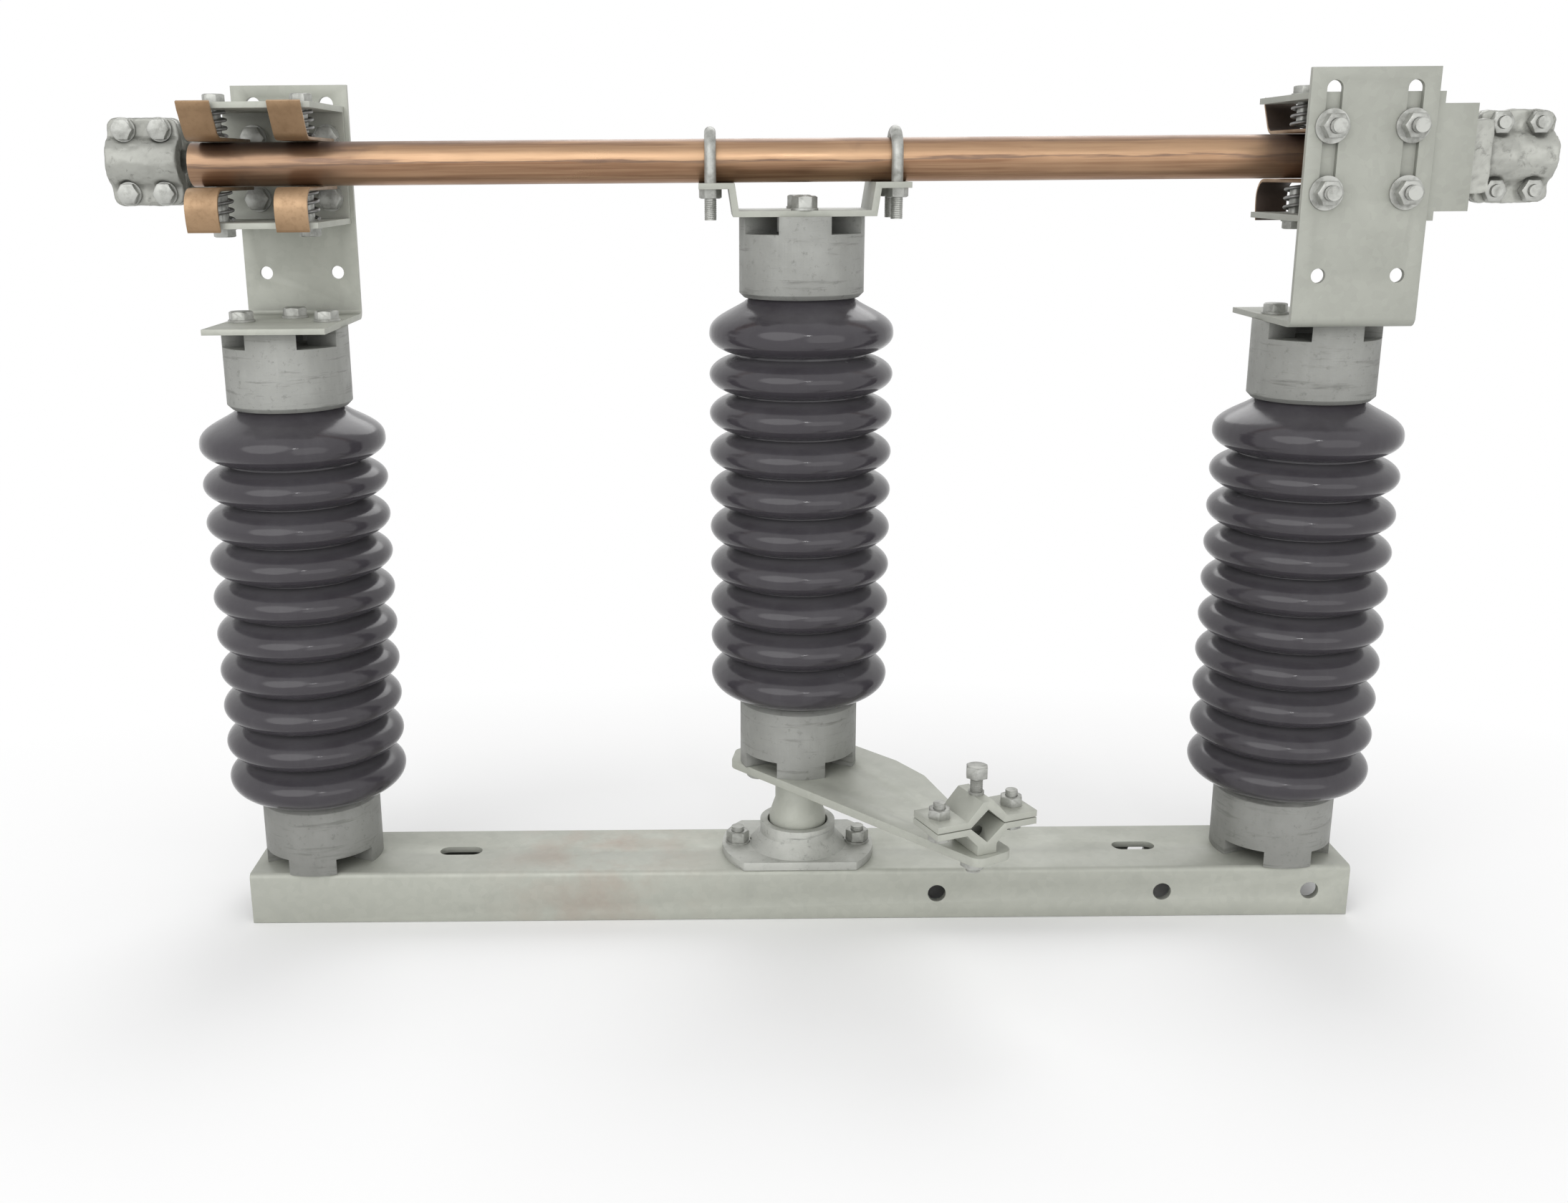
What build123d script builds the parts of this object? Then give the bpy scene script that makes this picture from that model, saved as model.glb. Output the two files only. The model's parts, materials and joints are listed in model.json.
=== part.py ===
from build123d import *
import math
import os

# One pole of a three-column, centre-rotating, double-break disconnect switch.
# Millimetres. X runs along the base, Z is up, and the base stands on Z = 0.
# The rotating column stands on the Z axis; the fixed columns stand at -X and +X.

# ---------------------------------------------------------------- base channel
BASE_L = 1042.0
BASE_W = 100.0
BASE_H = 50.0
BASE_WEB = 6.0
BASE_FLANGE = 7.0
BASE_EDGE_R = 5.0
BASE_ROOT_R = 7.0
SLOT_X = 328.0
SLOT_L = 41.0
SLOT_R = 9.0
FLANGE_HOLE_X = (130.0, 344.0, 484.0)
FLANGE_HOLE_R = 8.5
FLANGE_HOLE_Z = 25.0

# ------------------------------------------------------------ insulator columns
COLUMN_X = 460.0
CAP_R = 55.0
TOP_CAP_H = 70.0
BOTTOM_CAP_H = 66.0
CAP_BEVEL = 4.0
CAP_FLOOR = 12.0
CAP_SOCKET_R = 46.0
NECK_R = 45.7
BOSS_H = 15.0
BOSS_IN_R = 24.0
BOSS_SPAN = 48.0
BOLT_PCD = 76.0
CAP_HOLE_R = 6.3
CAP_HOLE_DEPTH = 24.0
CAP_GRIP = 18.0

SHED_COUNT = 10
SHED_PITCH = 35.0
SHED_R = 82.0
SHED_FIRST_Z = 90.0
SHED_END_GAP = 33.0
SHED_RIM = 11.0
SHED_VALLEY_R = 46.0
SHED_NECK_GAP = 2.0
INS_H = SHED_FIRST_Z + (SHED_COUNT - 1) * SHED_PITCH + SHED_END_GAP + TOP_CAP_H

# ------------------------------------------------------------------- fasteners
M12_R = 6.0
M12_AF = 19.0
M12_HEAD = 7.5
M12_NUT = 10.0
M10_R = 5.0
M10_AF = 17.0
M10_HEAD = 6.5
M10_NUT = 8.0
WASHER = 2.0
HOLE_GAP = 0.5
THREAD_GAP = 0.2

# ------------------------------------------------------------- bearing pedestal
PED_R = 73.0
PED_FLANGE = 8.0
PED_HUB_R = 47.0
PED_COLLAR_R = 36.0
PED_TOP_Z = 82.0
PED_BOLT_X = 58.0
BEARING_R = 20.0
BEARING_GAP = 0.05
SEAT_GAP = 0.3
POST_R = 21.5
SKIRT_R = 27.0

# ----------------------------------------------------------------------- lever
LEVER_T = 8.0
LEVER_TOP = 143.5
LEVER_ANGLE = -48.8
LEVER_NEAR = 50.0
LEVER_SIDE = 66.0
LEVER_TAIL = 58.0
LEVER_TIP = 28.0
LEVER_CORNER_R = 10.0
CLAMP_X = 136.0
CLAMP_Y = -200.0
STUD_R = 6.0
STUD_GAP = 0.05

# ---------------------------------------------------------------- moving contact
TUBE_R = 18.5
TUBE_WALL = 3.0
TUBE_OVER = 68.0
TUBE_HALF = COLUMN_X + TUBE_OVER
SADDLE_H = 28.0
SADDLE_W = 96.0
SADDLE_T = 5.0
SADDLE_FOOT_X = 61.0
SADDLE_NECK_X = 64.5
SADDLE_TIP_X = 90.0
UBOLT_X = 80.0
UBOLT_GAP = 0.3
UBOLT_TAIL = 31.0
TUBE_Z = LEVER_TOP + INS_H + SADDLE_H + TUBE_R

# ---------------------------------------------------------------- fixed contacts
# Heights marked UP and DOWN are measured from the tube's axis, IN and OUT from
# the column's axis towards the rotor and away from it.
FOOT_Z = BASE_H + INS_H
BRACKET_W = 105.0
BRACKET_T = 5.0
BRACKET_Y = 78.0
BRACKET_FOOT = 70.0
BRACKET_H = 209.0
BRACKET_BEND = 8.0
FOOT_BOLTS = (0, 90, 180)
BOLT_DX = 33.0
SLOT_UP = 59.0
SLOT_DOWN = 38.0
SLOT_W = 13.0
PEEP_H = 43.0
PEEP_R = 6.0

HOUSING_T = 5.0
HOUSING_IN = 49.0
HOUSING_OUT = 60.0
HOUSING_UP = 50.0
HOUSING_DOWN = 53.0
HOUSING_FRONT = 52.0
HOUSING_BOLT_UP = 23.0
HOUSING_BOLT_DOWN = 30.0
PAD_OUT = 88.0
PAD_UP = 40.5
PAD_DOWN = 45.5
HOUSING_LOW = TUBE_Z - HOUSING_DOWN
HOUSING_HIGH = TUBE_Z + HOUSING_UP
HOUSING_BOLT_Z = (TUBE_Z - HOUSING_BOLT_DOWN, TUBE_Z + HOUSING_BOLT_UP)
HOUSING_BACK = BRACKET_Y - BRACKET_T
HOUSING_FACE = HOUSING_BACK - HOUSING_T

FINGER_IN = 29.0
FINGER_OUT = 46.0
FINGER_X = (COLUMN_X - FINGER_IN, COLUMN_X + FINGER_OUT)
FINGER_W = 28.0
FINGER_T = 3.0
FINGER_GAP = 0.5
FINGER_BEND_Y = 41.7
FINGER_KNEE_Y = 57.0
FINGER_TIP_Y = 60.0
FINGER_KNEE_H = 24.0
FINGER_TIP_H = 31.0
FINGER_BEND_R = 14.0
FINGER_NOSE_R = 17.0
FINGER_NOSE_Y = 61.0
FINGER_DROP = 20.0
FINGER_DROP_R = 60.0
FINGER_CLEAR = 5.5
FINGER_BACK = HOUSING_FACE - WASHER - M12_HEAD - FINGER_CLEAR
SPRING_R = 10.0
SPRING_WIRE = 3.0

# --------------------------------------------------------- terminal connectors
LEFT_CONN_OUT = 121.0
LEFT_CONN_UP = 3.0
RIGHT_CONN_OUT = 133.0
RIGHT_CONN_UP = -2.0
CONN_L = 64.0
CONN_OFF = 27.0
CONN_SHELL_R = 23.0
CONN_BORE_R = 10.0
CONN_EAR = 38.0
CONN_EAR_T = 9.0
CONN_EAR_R = 9.0
CONN_SPLIT = 3.0
CONN_BOLT_DX = 16.0
CONN_BOLT_DZ = 27.5
CONN_SPOT_R = 11.3
PALM_T = 8.0
PALM_H = 60.0
PALM_GAP = 7.0
WEB_IN = 5.0
WEB_OUT = 1.5
WEB_H = 32.0
CONN_Y = HOUSING_FACE - CONN_OFF

os.makedirs("parts", exist_ok=True)


def tube_z(radius, low, high, x=0.0, y=0.0):
    """A solid cylinder standing from low to high."""
    return Pos(x, y, (low + high) / 2) * Cylinder(radius, high - low)


def rod_y(radius, y0, y1, x, z):
    """A solid cylinder lying along Y."""
    return Pos(x, (y0 + y1) / 2, z) * Rot(90, 0, 0) * Cylinder(radius, abs(y1 - y0))


def rod_x(radius, x0, x1, y, z):
    """A solid cylinder lying along X."""
    return Pos((x0 + x1) / 2, y, z) * Rot(0, 90, 0) * Cylinder(radius, abs(x1 - x0))


def hexagon(across_flats, height):
    """A hexagonal prism standing on Z = 0 with its outer corners chamfered."""
    body = extrude(RegularPolygon(across_flats / 2, 6, major_radius=False), height)
    cone = Cone(across_flats * 0.5 + height * 1.9, across_flats * 0.47, height)
    return body & (Pos(0, 0, height / 2) * cone)


def box(x0, x1, y0, y1, z0, z1):
    return Pos((x0 + x1) / 2, (y0 + y1) / 2, (z0 + z1) / 2) * Box(x1 - x0, y1 - y0, z1 - z0)


def bolt(radius, flats, head, length):
    """Head on top of Z = 0 with its washer, shank going down by length."""
    washer = Pos(0, 0, WASHER / 2) * Cylinder(flats * 0.62, WASHER)
    shank = Pos(0, 0, -length / 2) * Cylinder(radius, length)
    return washer + (Pos(0, 0, WASHER) * hexagon(flats, head)) + shank


def nut(radius, flats, height):
    """A nut standing on Z = 0, clear of the shank by the thread gap."""
    return hexagon(flats, height) - Pos(0, 0, height / 2) * Cylinder(radius + THREAD_GAP, height * 2)


def ring_points(radius, angles=(0, 90, 180, 270)):
    return [(radius * math.cos(math.radians(a)), radius * math.sin(math.radians(a))) for a in angles]


def sector(r_in, r_out, span, low, high):
    """A block of a ring, centred on the +X direction."""
    half = math.radians(span / 2)
    far = r_out * 1.6
    wedge = make_face(Polyline((0, 0), (far * math.cos(half), -far * math.sin(half)),
                               (far * math.cos(half), far * math.sin(half)), (0, 0)))
    ring = Circle(r_out) - Circle(r_in)
    return Pos(0, 0, low) * extrude(ring & wedge, high - low)


def corner(face, a, b):
    """The corner of a flat outline that lies at (a, b)."""
    return [v for v in face.vertices() if abs(v.X - a) < 0.01 and abs(v.Y - b) < 0.01]


def write(name, *solids):
    """Write one node: every solid in it, in place."""
    flat = []
    for item in solids:
        flat.extend(item.solids())
    shape = flat[0] if len(flat) == 1 else Compound(children=flat)
    export_step(shape, "parts/" + name + ".step")


# ------------------------------------------------------------------ base channel
def base_channel():
    half_w = BASE_W / 2
    inner_w = half_w - BASE_FLANGE
    under = BASE_H - BASE_WEB
    outer = make_face(Polyline((-half_w, 0), (half_w, 0), (half_w, BASE_H), (-half_w, BASE_H), (-half_w, 0)))
    outer = fillet(outer.vertices().filter_by_position(Axis.Y, BASE_H - 1, BASE_H + 1), BASE_EDGE_R)
    inner = make_face(Polyline((-inner_w, -1), (inner_w, -1), (inner_w, under), (-inner_w, under), (-inner_w, -1)))
    inner = fillet(inner.vertices().filter_by_position(Axis.Y, under - 1, under + 1), BASE_ROOT_R)
    profile = outer - inner
    body = extrude(Plane.YZ * profile, BASE_L / 2, both=True)
    for x in (-SLOT_X, SLOT_X):
        slot = extrude(SlotOverall(SLOT_L, SLOT_R * 2), BASE_WEB * 4, both=True)
        body -= Pos(x, 0, BASE_H) * slot
    for x in FLANGE_HOLE_X:
        body -= rod_y(FLANGE_HOLE_R, -BASE_W, BASE_W, x, FLANGE_HOLE_Z)
    for x in (-COLUMN_X, COLUMN_X):
        for px, py in ring_points(BOLT_PCD / 2, (0, 180)):
            body -= tube_z(M12_R + HOLE_GAP, under - 5, BASE_H + 5, x + px, py)
    for x in (-PED_BOLT_X, PED_BOLT_X):
        body -= tube_z(M12_R + HOLE_GAP, under - 5, BASE_H + 5, x, 0)
    return body


def base_bolts():
    """The bolts that hold the fixed columns, heads under the web."""
    out = []
    under = BASE_H - BASE_WEB
    for x in (-COLUMN_X, COLUMN_X):
        for px, py in ring_points(BOLT_PCD / 2, (0, 180)):
            one = bolt(M12_R, M12_AF, M12_HEAD, BASE_WEB + CAP_GRIP)
            out.append(Pos(x + px, py, under) * Rot(180, 0, 0) * one)
    return out


# -------------------------------------------------------------- insulator pieces
def porcelain():
    """Ten round-rimmed sheds with a valley between each pair, and a plain neck at each end."""
    low = BOSS_H + CAP_FLOOR
    high = INS_H - BOSS_H - CAP_FLOOR
    pts = [(0, low), (NECK_R, low), (NECK_R, BOTTOM_CAP_H + SHED_NECK_GAP)]
    rims = []
    cores = []
    for k in range(SHED_COUNT):
        z = SHED_FIRST_Z + k * SHED_PITCH
        rims.extend([(SHED_R, z - SHED_RIM / 2), (SHED_R, z + SHED_RIM / 2)])
        pts.extend(rims[-2:])
        if k < SHED_COUNT - 1:
            cores.append((SHED_VALLEY_R, z + SHED_PITCH / 2))
            pts.append(cores[-1])
    pts.append((NECK_R, INS_H - TOP_CAP_H - SHED_NECK_GAP))
    pts.extend([(NECK_R, high), (0, high), (0, low)])
    face = make_face(Polyline(*pts))
    corners = []
    valleys = []
    for p in rims:
        corners.extend(corner(face, *p))
    face = fillet(corners, SHED_RIM / 2 - 0.3)
    for p in cores:
        valleys.extend(corner(face, *p))
    face = fillet(valleys, 3.0)
    return revolve(Plane.XZ * face, Axis.Z)


def cap(height, bevel):
    """A cup with its closed end up: bosses on the end face, socket below."""
    body = Cylinder(CAP_R, height - BOSS_H)
    body = Pos(0, 0, (height - BOSS_H) / 2) * body
    if bevel:
        body = chamfer(body.edges().filter_by(GeomType.CIRCLE).sort_by(Axis.Z)[0], bevel)
    for a in (0, 90, 180, 270):
        body += Rot(0, 0, a) * sector(BOSS_IN_R, CAP_R, BOSS_SPAN, height - BOSS_H - 6.0, height)
    body -= tube_z(CAP_SOCKET_R, -1.0, height - BOSS_H - CAP_FLOOR)
    for px, py in ring_points(BOLT_PCD / 2):
        body -= tube_z(CAP_HOLE_R, height - CAP_HOLE_DEPTH, height + 1.0, px, py)
    return body


def top_cap():
    return Pos(0, 0, INS_H - TOP_CAP_H) * cap(TOP_CAP_H, CAP_BEVEL)


def bottom_cap():
    return Pos(0, 0, BOTTOM_CAP_H) * Rot(180, 0, 0) * cap(BOTTOM_CAP_H, CAP_BEVEL)


# --------------------------------------------------------------- bearing and post
def bearing_pedestal():
    low = BASE_H
    body = tube_z(PED_R, low, low + PED_FLANGE)
    body = body & box(-2 * PED_R, 2 * PED_R, -BASE_W / 2, BASE_W / 2, 0, 2 * PED_TOP_Z)
    hub = Pos(0, 0, low + PED_FLANGE + 6.0) * Cone(PED_HUB_R, PED_COLLAR_R, 12.0)
    body += hub
    body += tube_z(PED_COLLAR_R, low + PED_FLANGE, PED_TOP_Z)
    body -= tube_z(SKIRT_R + 2.0, PED_TOP_Z - 10.0, PED_TOP_Z + 5.0)
    body -= tube_z(BEARING_R + BEARING_GAP, low + 2.0, PED_TOP_Z + 5.0)
    for x in (-PED_BOLT_X, PED_BOLT_X):
        body -= tube_z(M12_R + HOLE_GAP, low - 5, low + PED_FLANGE + 2.0, x, 0)
    for x in (-PED_BOLT_X, PED_BOLT_X):
        body -= tube_z(13.5, low + PED_FLANGE, low + PED_FLANGE + 30.0, x, 0)
    return body


def pedestal_bolts():
    """Bolt from below with its nut on the flange, at each side of the hub."""
    out = []
    under = BASE_H - BASE_WEB
    top = BASE_H + PED_FLANGE
    for x in (-PED_BOLT_X, PED_BOLT_X):
        one = bolt(M12_R, M12_AF, M12_HEAD, BASE_WEB + PED_FLANGE + M12_NUT + 6.0)
        out.append(Pos(x, 0, under) * Rot(180, 0, 0) * one)
        washer = tube_z(M12_AF * 0.62, top, top + WASHER, x, 0) - tube_z(M12_R + THREAD_GAP, top - 1, top + 5, x, 0)
        out.append(washer + Pos(x, 0, top + WASHER) * nut(M12_R, M12_AF, M12_NUT))
    return out


def bearing_post():
    """Journal, dust skirt and post under the lever plate."""
    low = BASE_H + 2.0 + SEAT_GAP
    body = tube_z(BEARING_R, low, PED_TOP_Z - 10.0 + SEAT_GAP + 1.0)
    skirt = tube_z(SKIRT_R, PED_TOP_Z - 10.0 + SEAT_GAP, PED_TOP_Z + 6.0)
    flare = Pos(0, 0, PED_TOP_Z + 14.0) * Cone(SKIRT_R, POST_R, 16.0)
    post = tube_z(POST_R, PED_TOP_Z + 20.0, LEVER_TOP - LEVER_T)
    return body + skirt + flare + post


def lever_outline():
    """The lever in plan: straight along one side, tapering on the other."""
    ang = math.radians(LEVER_ANGLE)
    c, s = math.cos(ang), math.sin(ang)
    reach = CLAMP_X * c + CLAMP_Y * s
    off = CLAMP_Y * c - CLAMP_X * s
    tip = reach + LEVER_TIP
    pts = [(-LEVER_TAIL, -LEVER_TIP), (-LEVER_TAIL + 18, -LEVER_NEAR), (tip - 6, -LEVER_NEAR), (tip, off + 17),
           (reach, off + LEVER_TIP - 3), (reach * 0.69, LEVER_TIP), (reach * 0.46, LEVER_SIDE - 9), (reach * 0.28, LEVER_SIDE),
           (-20, LEVER_SIDE), (-LEVER_TAIL, 40)]
    out = [(a * c - b * s, a * s + b * c) for a, b in pts]
    out.append(out[0])
    return make_face(Polyline(*out))


def lever_plate():
    face = lever_outline()
    face = fillet(face.vertices(), LEVER_CORNER_R)
    body = Pos(0, 0, LEVER_TOP - LEVER_T) * extrude(face, LEVER_T)
    for px, py in ring_points(BOLT_PCD / 2):
        body -= tube_z(M12_R + HOLE_GAP, LEVER_TOP - LEVER_T - 1, LEVER_TOP + 1, px, py)
    body -= tube_z(STUD_R + STUD_GAP, LEVER_TOP - LEVER_T - 1, LEVER_TOP + 1, CLAMP_X, CLAMP_Y)
    return body


def lever_bolts():
    out = []
    for px, py in ring_points(BOLT_PCD / 2):
        one = bolt(M12_R, M12_AF, M12_HEAD, LEVER_T + CAP_GRIP)
        out.append(Pos(px, py, LEVER_TOP - LEVER_T) * Rot(180, 0, 0) * one)
    return out


# -------------------------------------------------------------------- pipe clamp
CLAMP_ANGLE = -68.0
CLAMP_LEN = 40.0
CLAMP_Z = 169.0
CLAMP_OPEN_X = 16.5
CLAMP_OPEN_Z = 14.5
CLAMP_WALL_Z = 8.2
CLAMP_FLANGE = 5.5
CLAMP_HALF_W = 47.0
CLAMP_BOLT_X = 34.5
CLAMP_SPLIT = 1.0
SET_BOLT_TOP = 215.0
SET_COLLAR_R = 6.5
SET_COLLAR_H = 2.5
CLAMP_TAIL = 5.0


def clamp_half():
    """Upper half in its own frame: split plane on Z = 0, pipe along local Y."""
    rise = CLAMP_OPEN_Z + CLAMP_WALL_Z
    slope = CLAMP_OPEN_Z / CLAMP_OPEN_X
    z0 = CLAMP_SPLIT / 2
    z1 = z0 + CLAMP_FLANGE
    knee = (rise - z1) / slope
    crown = 5.0
    mouth = (CLAMP_OPEN_Z - z0) / slope
    pts = [(-CLAMP_HALF_W, z0), (-mouth, z0), (0, CLAMP_OPEN_Z), (mouth, z0), (CLAMP_HALF_W, z0),
           (CLAMP_HALF_W, z1), (knee, z1), (crown, rise - crown * slope + 3.0),
           (-crown, rise - crown * slope + 3.0), (-knee, z1), (-CLAMP_HALF_W, z1), (-CLAMP_HALF_W, z0)]
    body = extrude(Plane.XZ * make_face(Polyline(*pts)), CLAMP_LEN / 2, both=True)
    for x in (-CLAMP_BOLT_X, CLAMP_BOLT_X):
        body -= tube_z(M10_R + HOLE_GAP, -5, 20, x, 0)
    return body


def clamp_place(item):
    turn = CLAMP_ANGLE + 90.0
    return Pos(CLAMP_X, CLAMP_Y, CLAMP_Z) * Rot(0, 0, turn) * item


def clamp_top():
    return CLAMP_OPEN_Z + CLAMP_WALL_Z - 5.0 * CLAMP_OPEN_Z / CLAMP_OPEN_X + 3.0


def clamp_upper():
    body = clamp_half() - tube_z(M10_R + THREAD_GAP, 5, 40)
    return clamp_place(body)


def clamp_lower():
    body = Rot(0, 180, 0) * clamp_half()
    foot = box(-9, 9, -CLAMP_LEN / 2, CLAMP_LEN / 2, LEVER_TOP + 0.3 - CLAMP_Z, -CLAMP_OPEN_Z - 2.0)
    body = body + foot
    body = body - tube_z(STUD_R + THREAD_GAP, -40, -CLAMP_OPEN_Z + 5)
    return clamp_place(body)


def clamp_bolts():
    """Two flange bolts put in from below with their nuts on top, and the long set bolt."""
    out = clamp_set_bolt()
    top = CLAMP_SPLIT / 2 + CLAMP_FLANGE
    for x in (-CLAMP_BOLT_X, CLAMP_BOLT_X):
        one = bolt(M10_R, M10_AF, M10_HEAD, 2 * top + M10_NUT + CLAMP_TAIL)
        out.append(clamp_place(Pos(x, 0, -top) * Rot(180, 0, 0) * one))
        out.append(clamp_place(Pos(x, 0, top) * nut(M10_R, M10_AF, M10_NUT)))
    return out


def clamp_set_bolt():
    """Long bolt through the crown of the upper half, biting on the pipe."""
    head_low = SET_BOLT_TOP - 10.0 - CLAMP_Z
    head = Pos(0, 0, head_low) * hexagon(M10_AF, 10.0)
    shank = tube_z(M10_R, CLAMP_OPEN_Z - 1.5, head_low)
    collar = tube_z(SET_COLLAR_R, clamp_top(), clamp_top() + SET_COLLAR_H)
    return [clamp_place(head + shank + collar)]


def clamp_stud():
    """Stud in the lower half's foot, turning in the lever, nut below it."""
    top = CLAMP_Z - CLAMP_OPEN_Z - 1.0
    low = LEVER_TOP - LEVER_T - M12_NUT - 5.0
    stud = tube_z(STUD_R, low, top, CLAMP_X, CLAMP_Y)
    under = LEVER_TOP - LEVER_T - 0.3 - M12_NUT
    lock = Pos(CLAMP_X, CLAMP_Y, under) * hexagon(M12_AF, M12_NUT)
    return [stud + lock]


# ---------------------------------------------------------------- moving contact
def contact_tube():
    return rod_x(TUBE_R, -TUBE_HALF, TUBE_HALF, 0, TUBE_Z) - rod_x(
        TUBE_R - TUBE_WALL, -TUBE_HALF - 1, TUBE_HALF + 1, 0, TUBE_Z)


def saddle_profile():
    low = LEVER_TOP + INS_H
    high = TUBE_Z - TUBE_R
    t = SADDLE_T
    half = [(0, low), (SADDLE_FOOT_X, low), (SADDLE_NECK_X, high - t), (SADDLE_TIP_X, high - t),
            (SADDLE_TIP_X, high), (SADDLE_NECK_X - t, high), (SADDLE_FOOT_X - t, low + t), (0, low + t)]
    back = [(-x, z) for x, z in reversed(half[1:-1])]
    pts = half + back + [half[0]]
    return make_face(Polyline(*pts))


def tube_saddle():
    body = extrude(Plane.XZ * saddle_profile(), SADDLE_W / 2, both=True)
    low = LEVER_TOP + INS_H
    high = TUBE_Z - TUBE_R
    for y in (-BOLT_PCD / 2, BOLT_PCD / 2):
        body -= tube_z(M12_R + HOLE_GAP, low - 1, low + SADDLE_T + 1, 0, y)
    for x in (-UBOLT_X, UBOLT_X):
        for y in (-1, 1):
            body -= tube_z(M10_R + HOLE_GAP, high - SADDLE_T - 1, high + 1, x, y * (TUBE_R + UBOLT_GAP + M10_R))
    return body


def saddle_bolts():
    out = []
    top = LEVER_TOP + INS_H + SADDLE_T
    for y in (-BOLT_PCD / 2, BOLT_PCD / 2):
        out.append(Pos(0, y, top) * bolt(M12_R, M12_AF, 10.0, SADDLE_T + CAP_GRIP))
    return out


def u_bolts():
    out = []
    r = TUBE_R + UBOLT_GAP + M10_R
    low = TUBE_Z - TUBE_R - UBOLT_TAIL
    for x in (-UBOLT_X, UBOLT_X):
        leg = tube_z(M10_R, low, TUBE_Z, 0, -r) + tube_z(M10_R, low, TUBE_Z, 0, r)
        hoop = Pos(0, 0, TUBE_Z) * Rot(0, 90, 0) * Torus(r, M10_R)
        hoop = hoop & box(-2 * M10_R, 2 * M10_R, -2 * r, 2 * r, TUBE_Z, TUBE_Z + 2 * r)
        out.append(Pos(x, 0, 0) * (hoop + leg))
    return out


def u_bolt_nuts():
    out = []
    r = TUBE_R + UBOLT_GAP + M10_R
    under = TUBE_Z - TUBE_R - SADDLE_T
    for x in (-UBOLT_X, UBOLT_X):
        for y in (-r, r):
            out.append(Pos(x, y, under) * Rot(180, 0, 0) * nut(M10_R, M10_AF, M10_NUT))
    return out


# ---------------------------------------------------------------- fixed contacts
# Each piece is drawn for the column at -X, whose mouth faces -Y. The one at +X
# is the same piece turned half round about the rotor axis.
def terminal_bracket():
    low = FOOT_Z
    high = low + BRACKET_H
    back = BRACKET_Y
    inner = back - BRACKET_T
    prof = make_face(Polyline((-BRACKET_FOOT, low), (back, low), (back, high), (inner, high),
                              (inner, low + BRACKET_T), (-BRACKET_FOOT, low + BRACKET_T), (-BRACKET_FOOT, low)))
    prof = fillet(corner(prof, back, low), BRACKET_BEND)
    prof = fillet(corner(prof, inner, low + BRACKET_T), BRACKET_BEND - BRACKET_T + 1.0)
    body = extrude(Plane.YZ * prof, BRACKET_W / 2, both=True)
    for x in (-BOLT_DX, BOLT_DX):
        mid = TUBE_Z + (SLOT_UP - SLOT_DOWN) / 2
        slot = extrude(SlotOverall(SLOT_UP + SLOT_DOWN, SLOT_W, rotation=90), 20.0, both=True)
        body -= Pos(x, back, mid) * Rot(90, 0, 0) * slot
        body -= rod_y(PEEP_R, inner - 5, back + 5, x, low + PEEP_H)
    for px, py in ring_points(BOLT_PCD / 2, FOOT_BOLTS):
        body -= tube_z(M12_R + HOLE_GAP + 0.5, low - 5, low + BRACKET_T + 5, px, py)
    return Pos(-COLUMN_X, 0, 0) * body


def bracket_bolts():
    out = []
    top = FOOT_Z + BRACKET_T
    for px, py in ring_points(BOLT_PCD / 2, FOOT_BOLTS):
        out.append(Pos(px - COLUMN_X, py, top) * bolt(M12_R, M12_AF, M12_HEAD, BRACKET_T + CAP_GRIP))
    return out


def contact_housing():
    x0 = -(COLUMN_X + HOUSING_OUT)
    x1 = -(COLUMN_X - HOUSING_IN)
    body = box(x0, x1, -HOUSING_FRONT, HOUSING_BACK, HOUSING_LOW, HOUSING_HIGH)
    body -= box(x0 - 1, x1 + 1, -HOUSING_FRONT - 1, HOUSING_FACE, HOUSING_LOW + HOUSING_T, HOUSING_HIGH - HOUSING_T)
    body += box(-(COLUMN_X + PAD_OUT), x0, HOUSING_FACE, HOUSING_BACK, TUBE_Z - PAD_DOWN, TUBE_Z + PAD_UP)
    for dx in (-BOLT_DX, BOLT_DX):
        for z in HOUSING_BOLT_Z:
            body -= rod_y(M12_R + HOLE_GAP, HOUSING_FACE - 5, HOUSING_BACK + 5, -COLUMN_X + dx, z)
    for x in FINGER_X:
        body -= tube_z(M10_R + HOLE_GAP, HOUSING_LOW - 5, HOUSING_LOW + HOUSING_T + 5, -x, 0)
        body -= tube_z(M10_R + HOLE_GAP, HOUSING_HIGH - HOUSING_T - 5, HOUSING_HIGH + 5, -x, 0)
    return body


def upper_finger():
    """A strip on top of the tube, bent up steeply at the mouth."""
    z = TUBE_R + FINGER_GAP
    t = FINGER_T
    a, b, c = FINGER_BEND_Y, FINGER_KNEE_Y, FINGER_TIP_Y
    h, k = FINGER_KNEE_H, FINGER_TIP_H
    near = [(FINGER_BACK, z), (-a, z), (-b, z + h), (-c, z + k)]
    s1 = math.atan2(h, b - a)
    s2 = math.atan2(k - h, c - b)
    mid = (s1 + s2) / 2
    bend = (-a + t * math.tan(s1 / 2), z + t)
    knee = (-b + t * math.sin(mid), z + h + t * math.cos(mid))
    tip = (-c + t * math.sin(s2), z + k + t * math.cos(s2))
    pts = near + [tip, knee, bend, (FINGER_BACK, z + t), near[0]]
    face = make_face(Polyline(*[(p, TUBE_Z + q) for p, q in pts]))
    face = fillet(corner(face, -a, TUBE_Z + z), FINGER_BEND_R)
    return fillet(corner(face, bend[0], TUBE_Z + bend[1]), FINGER_BEND_R - t)


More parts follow.
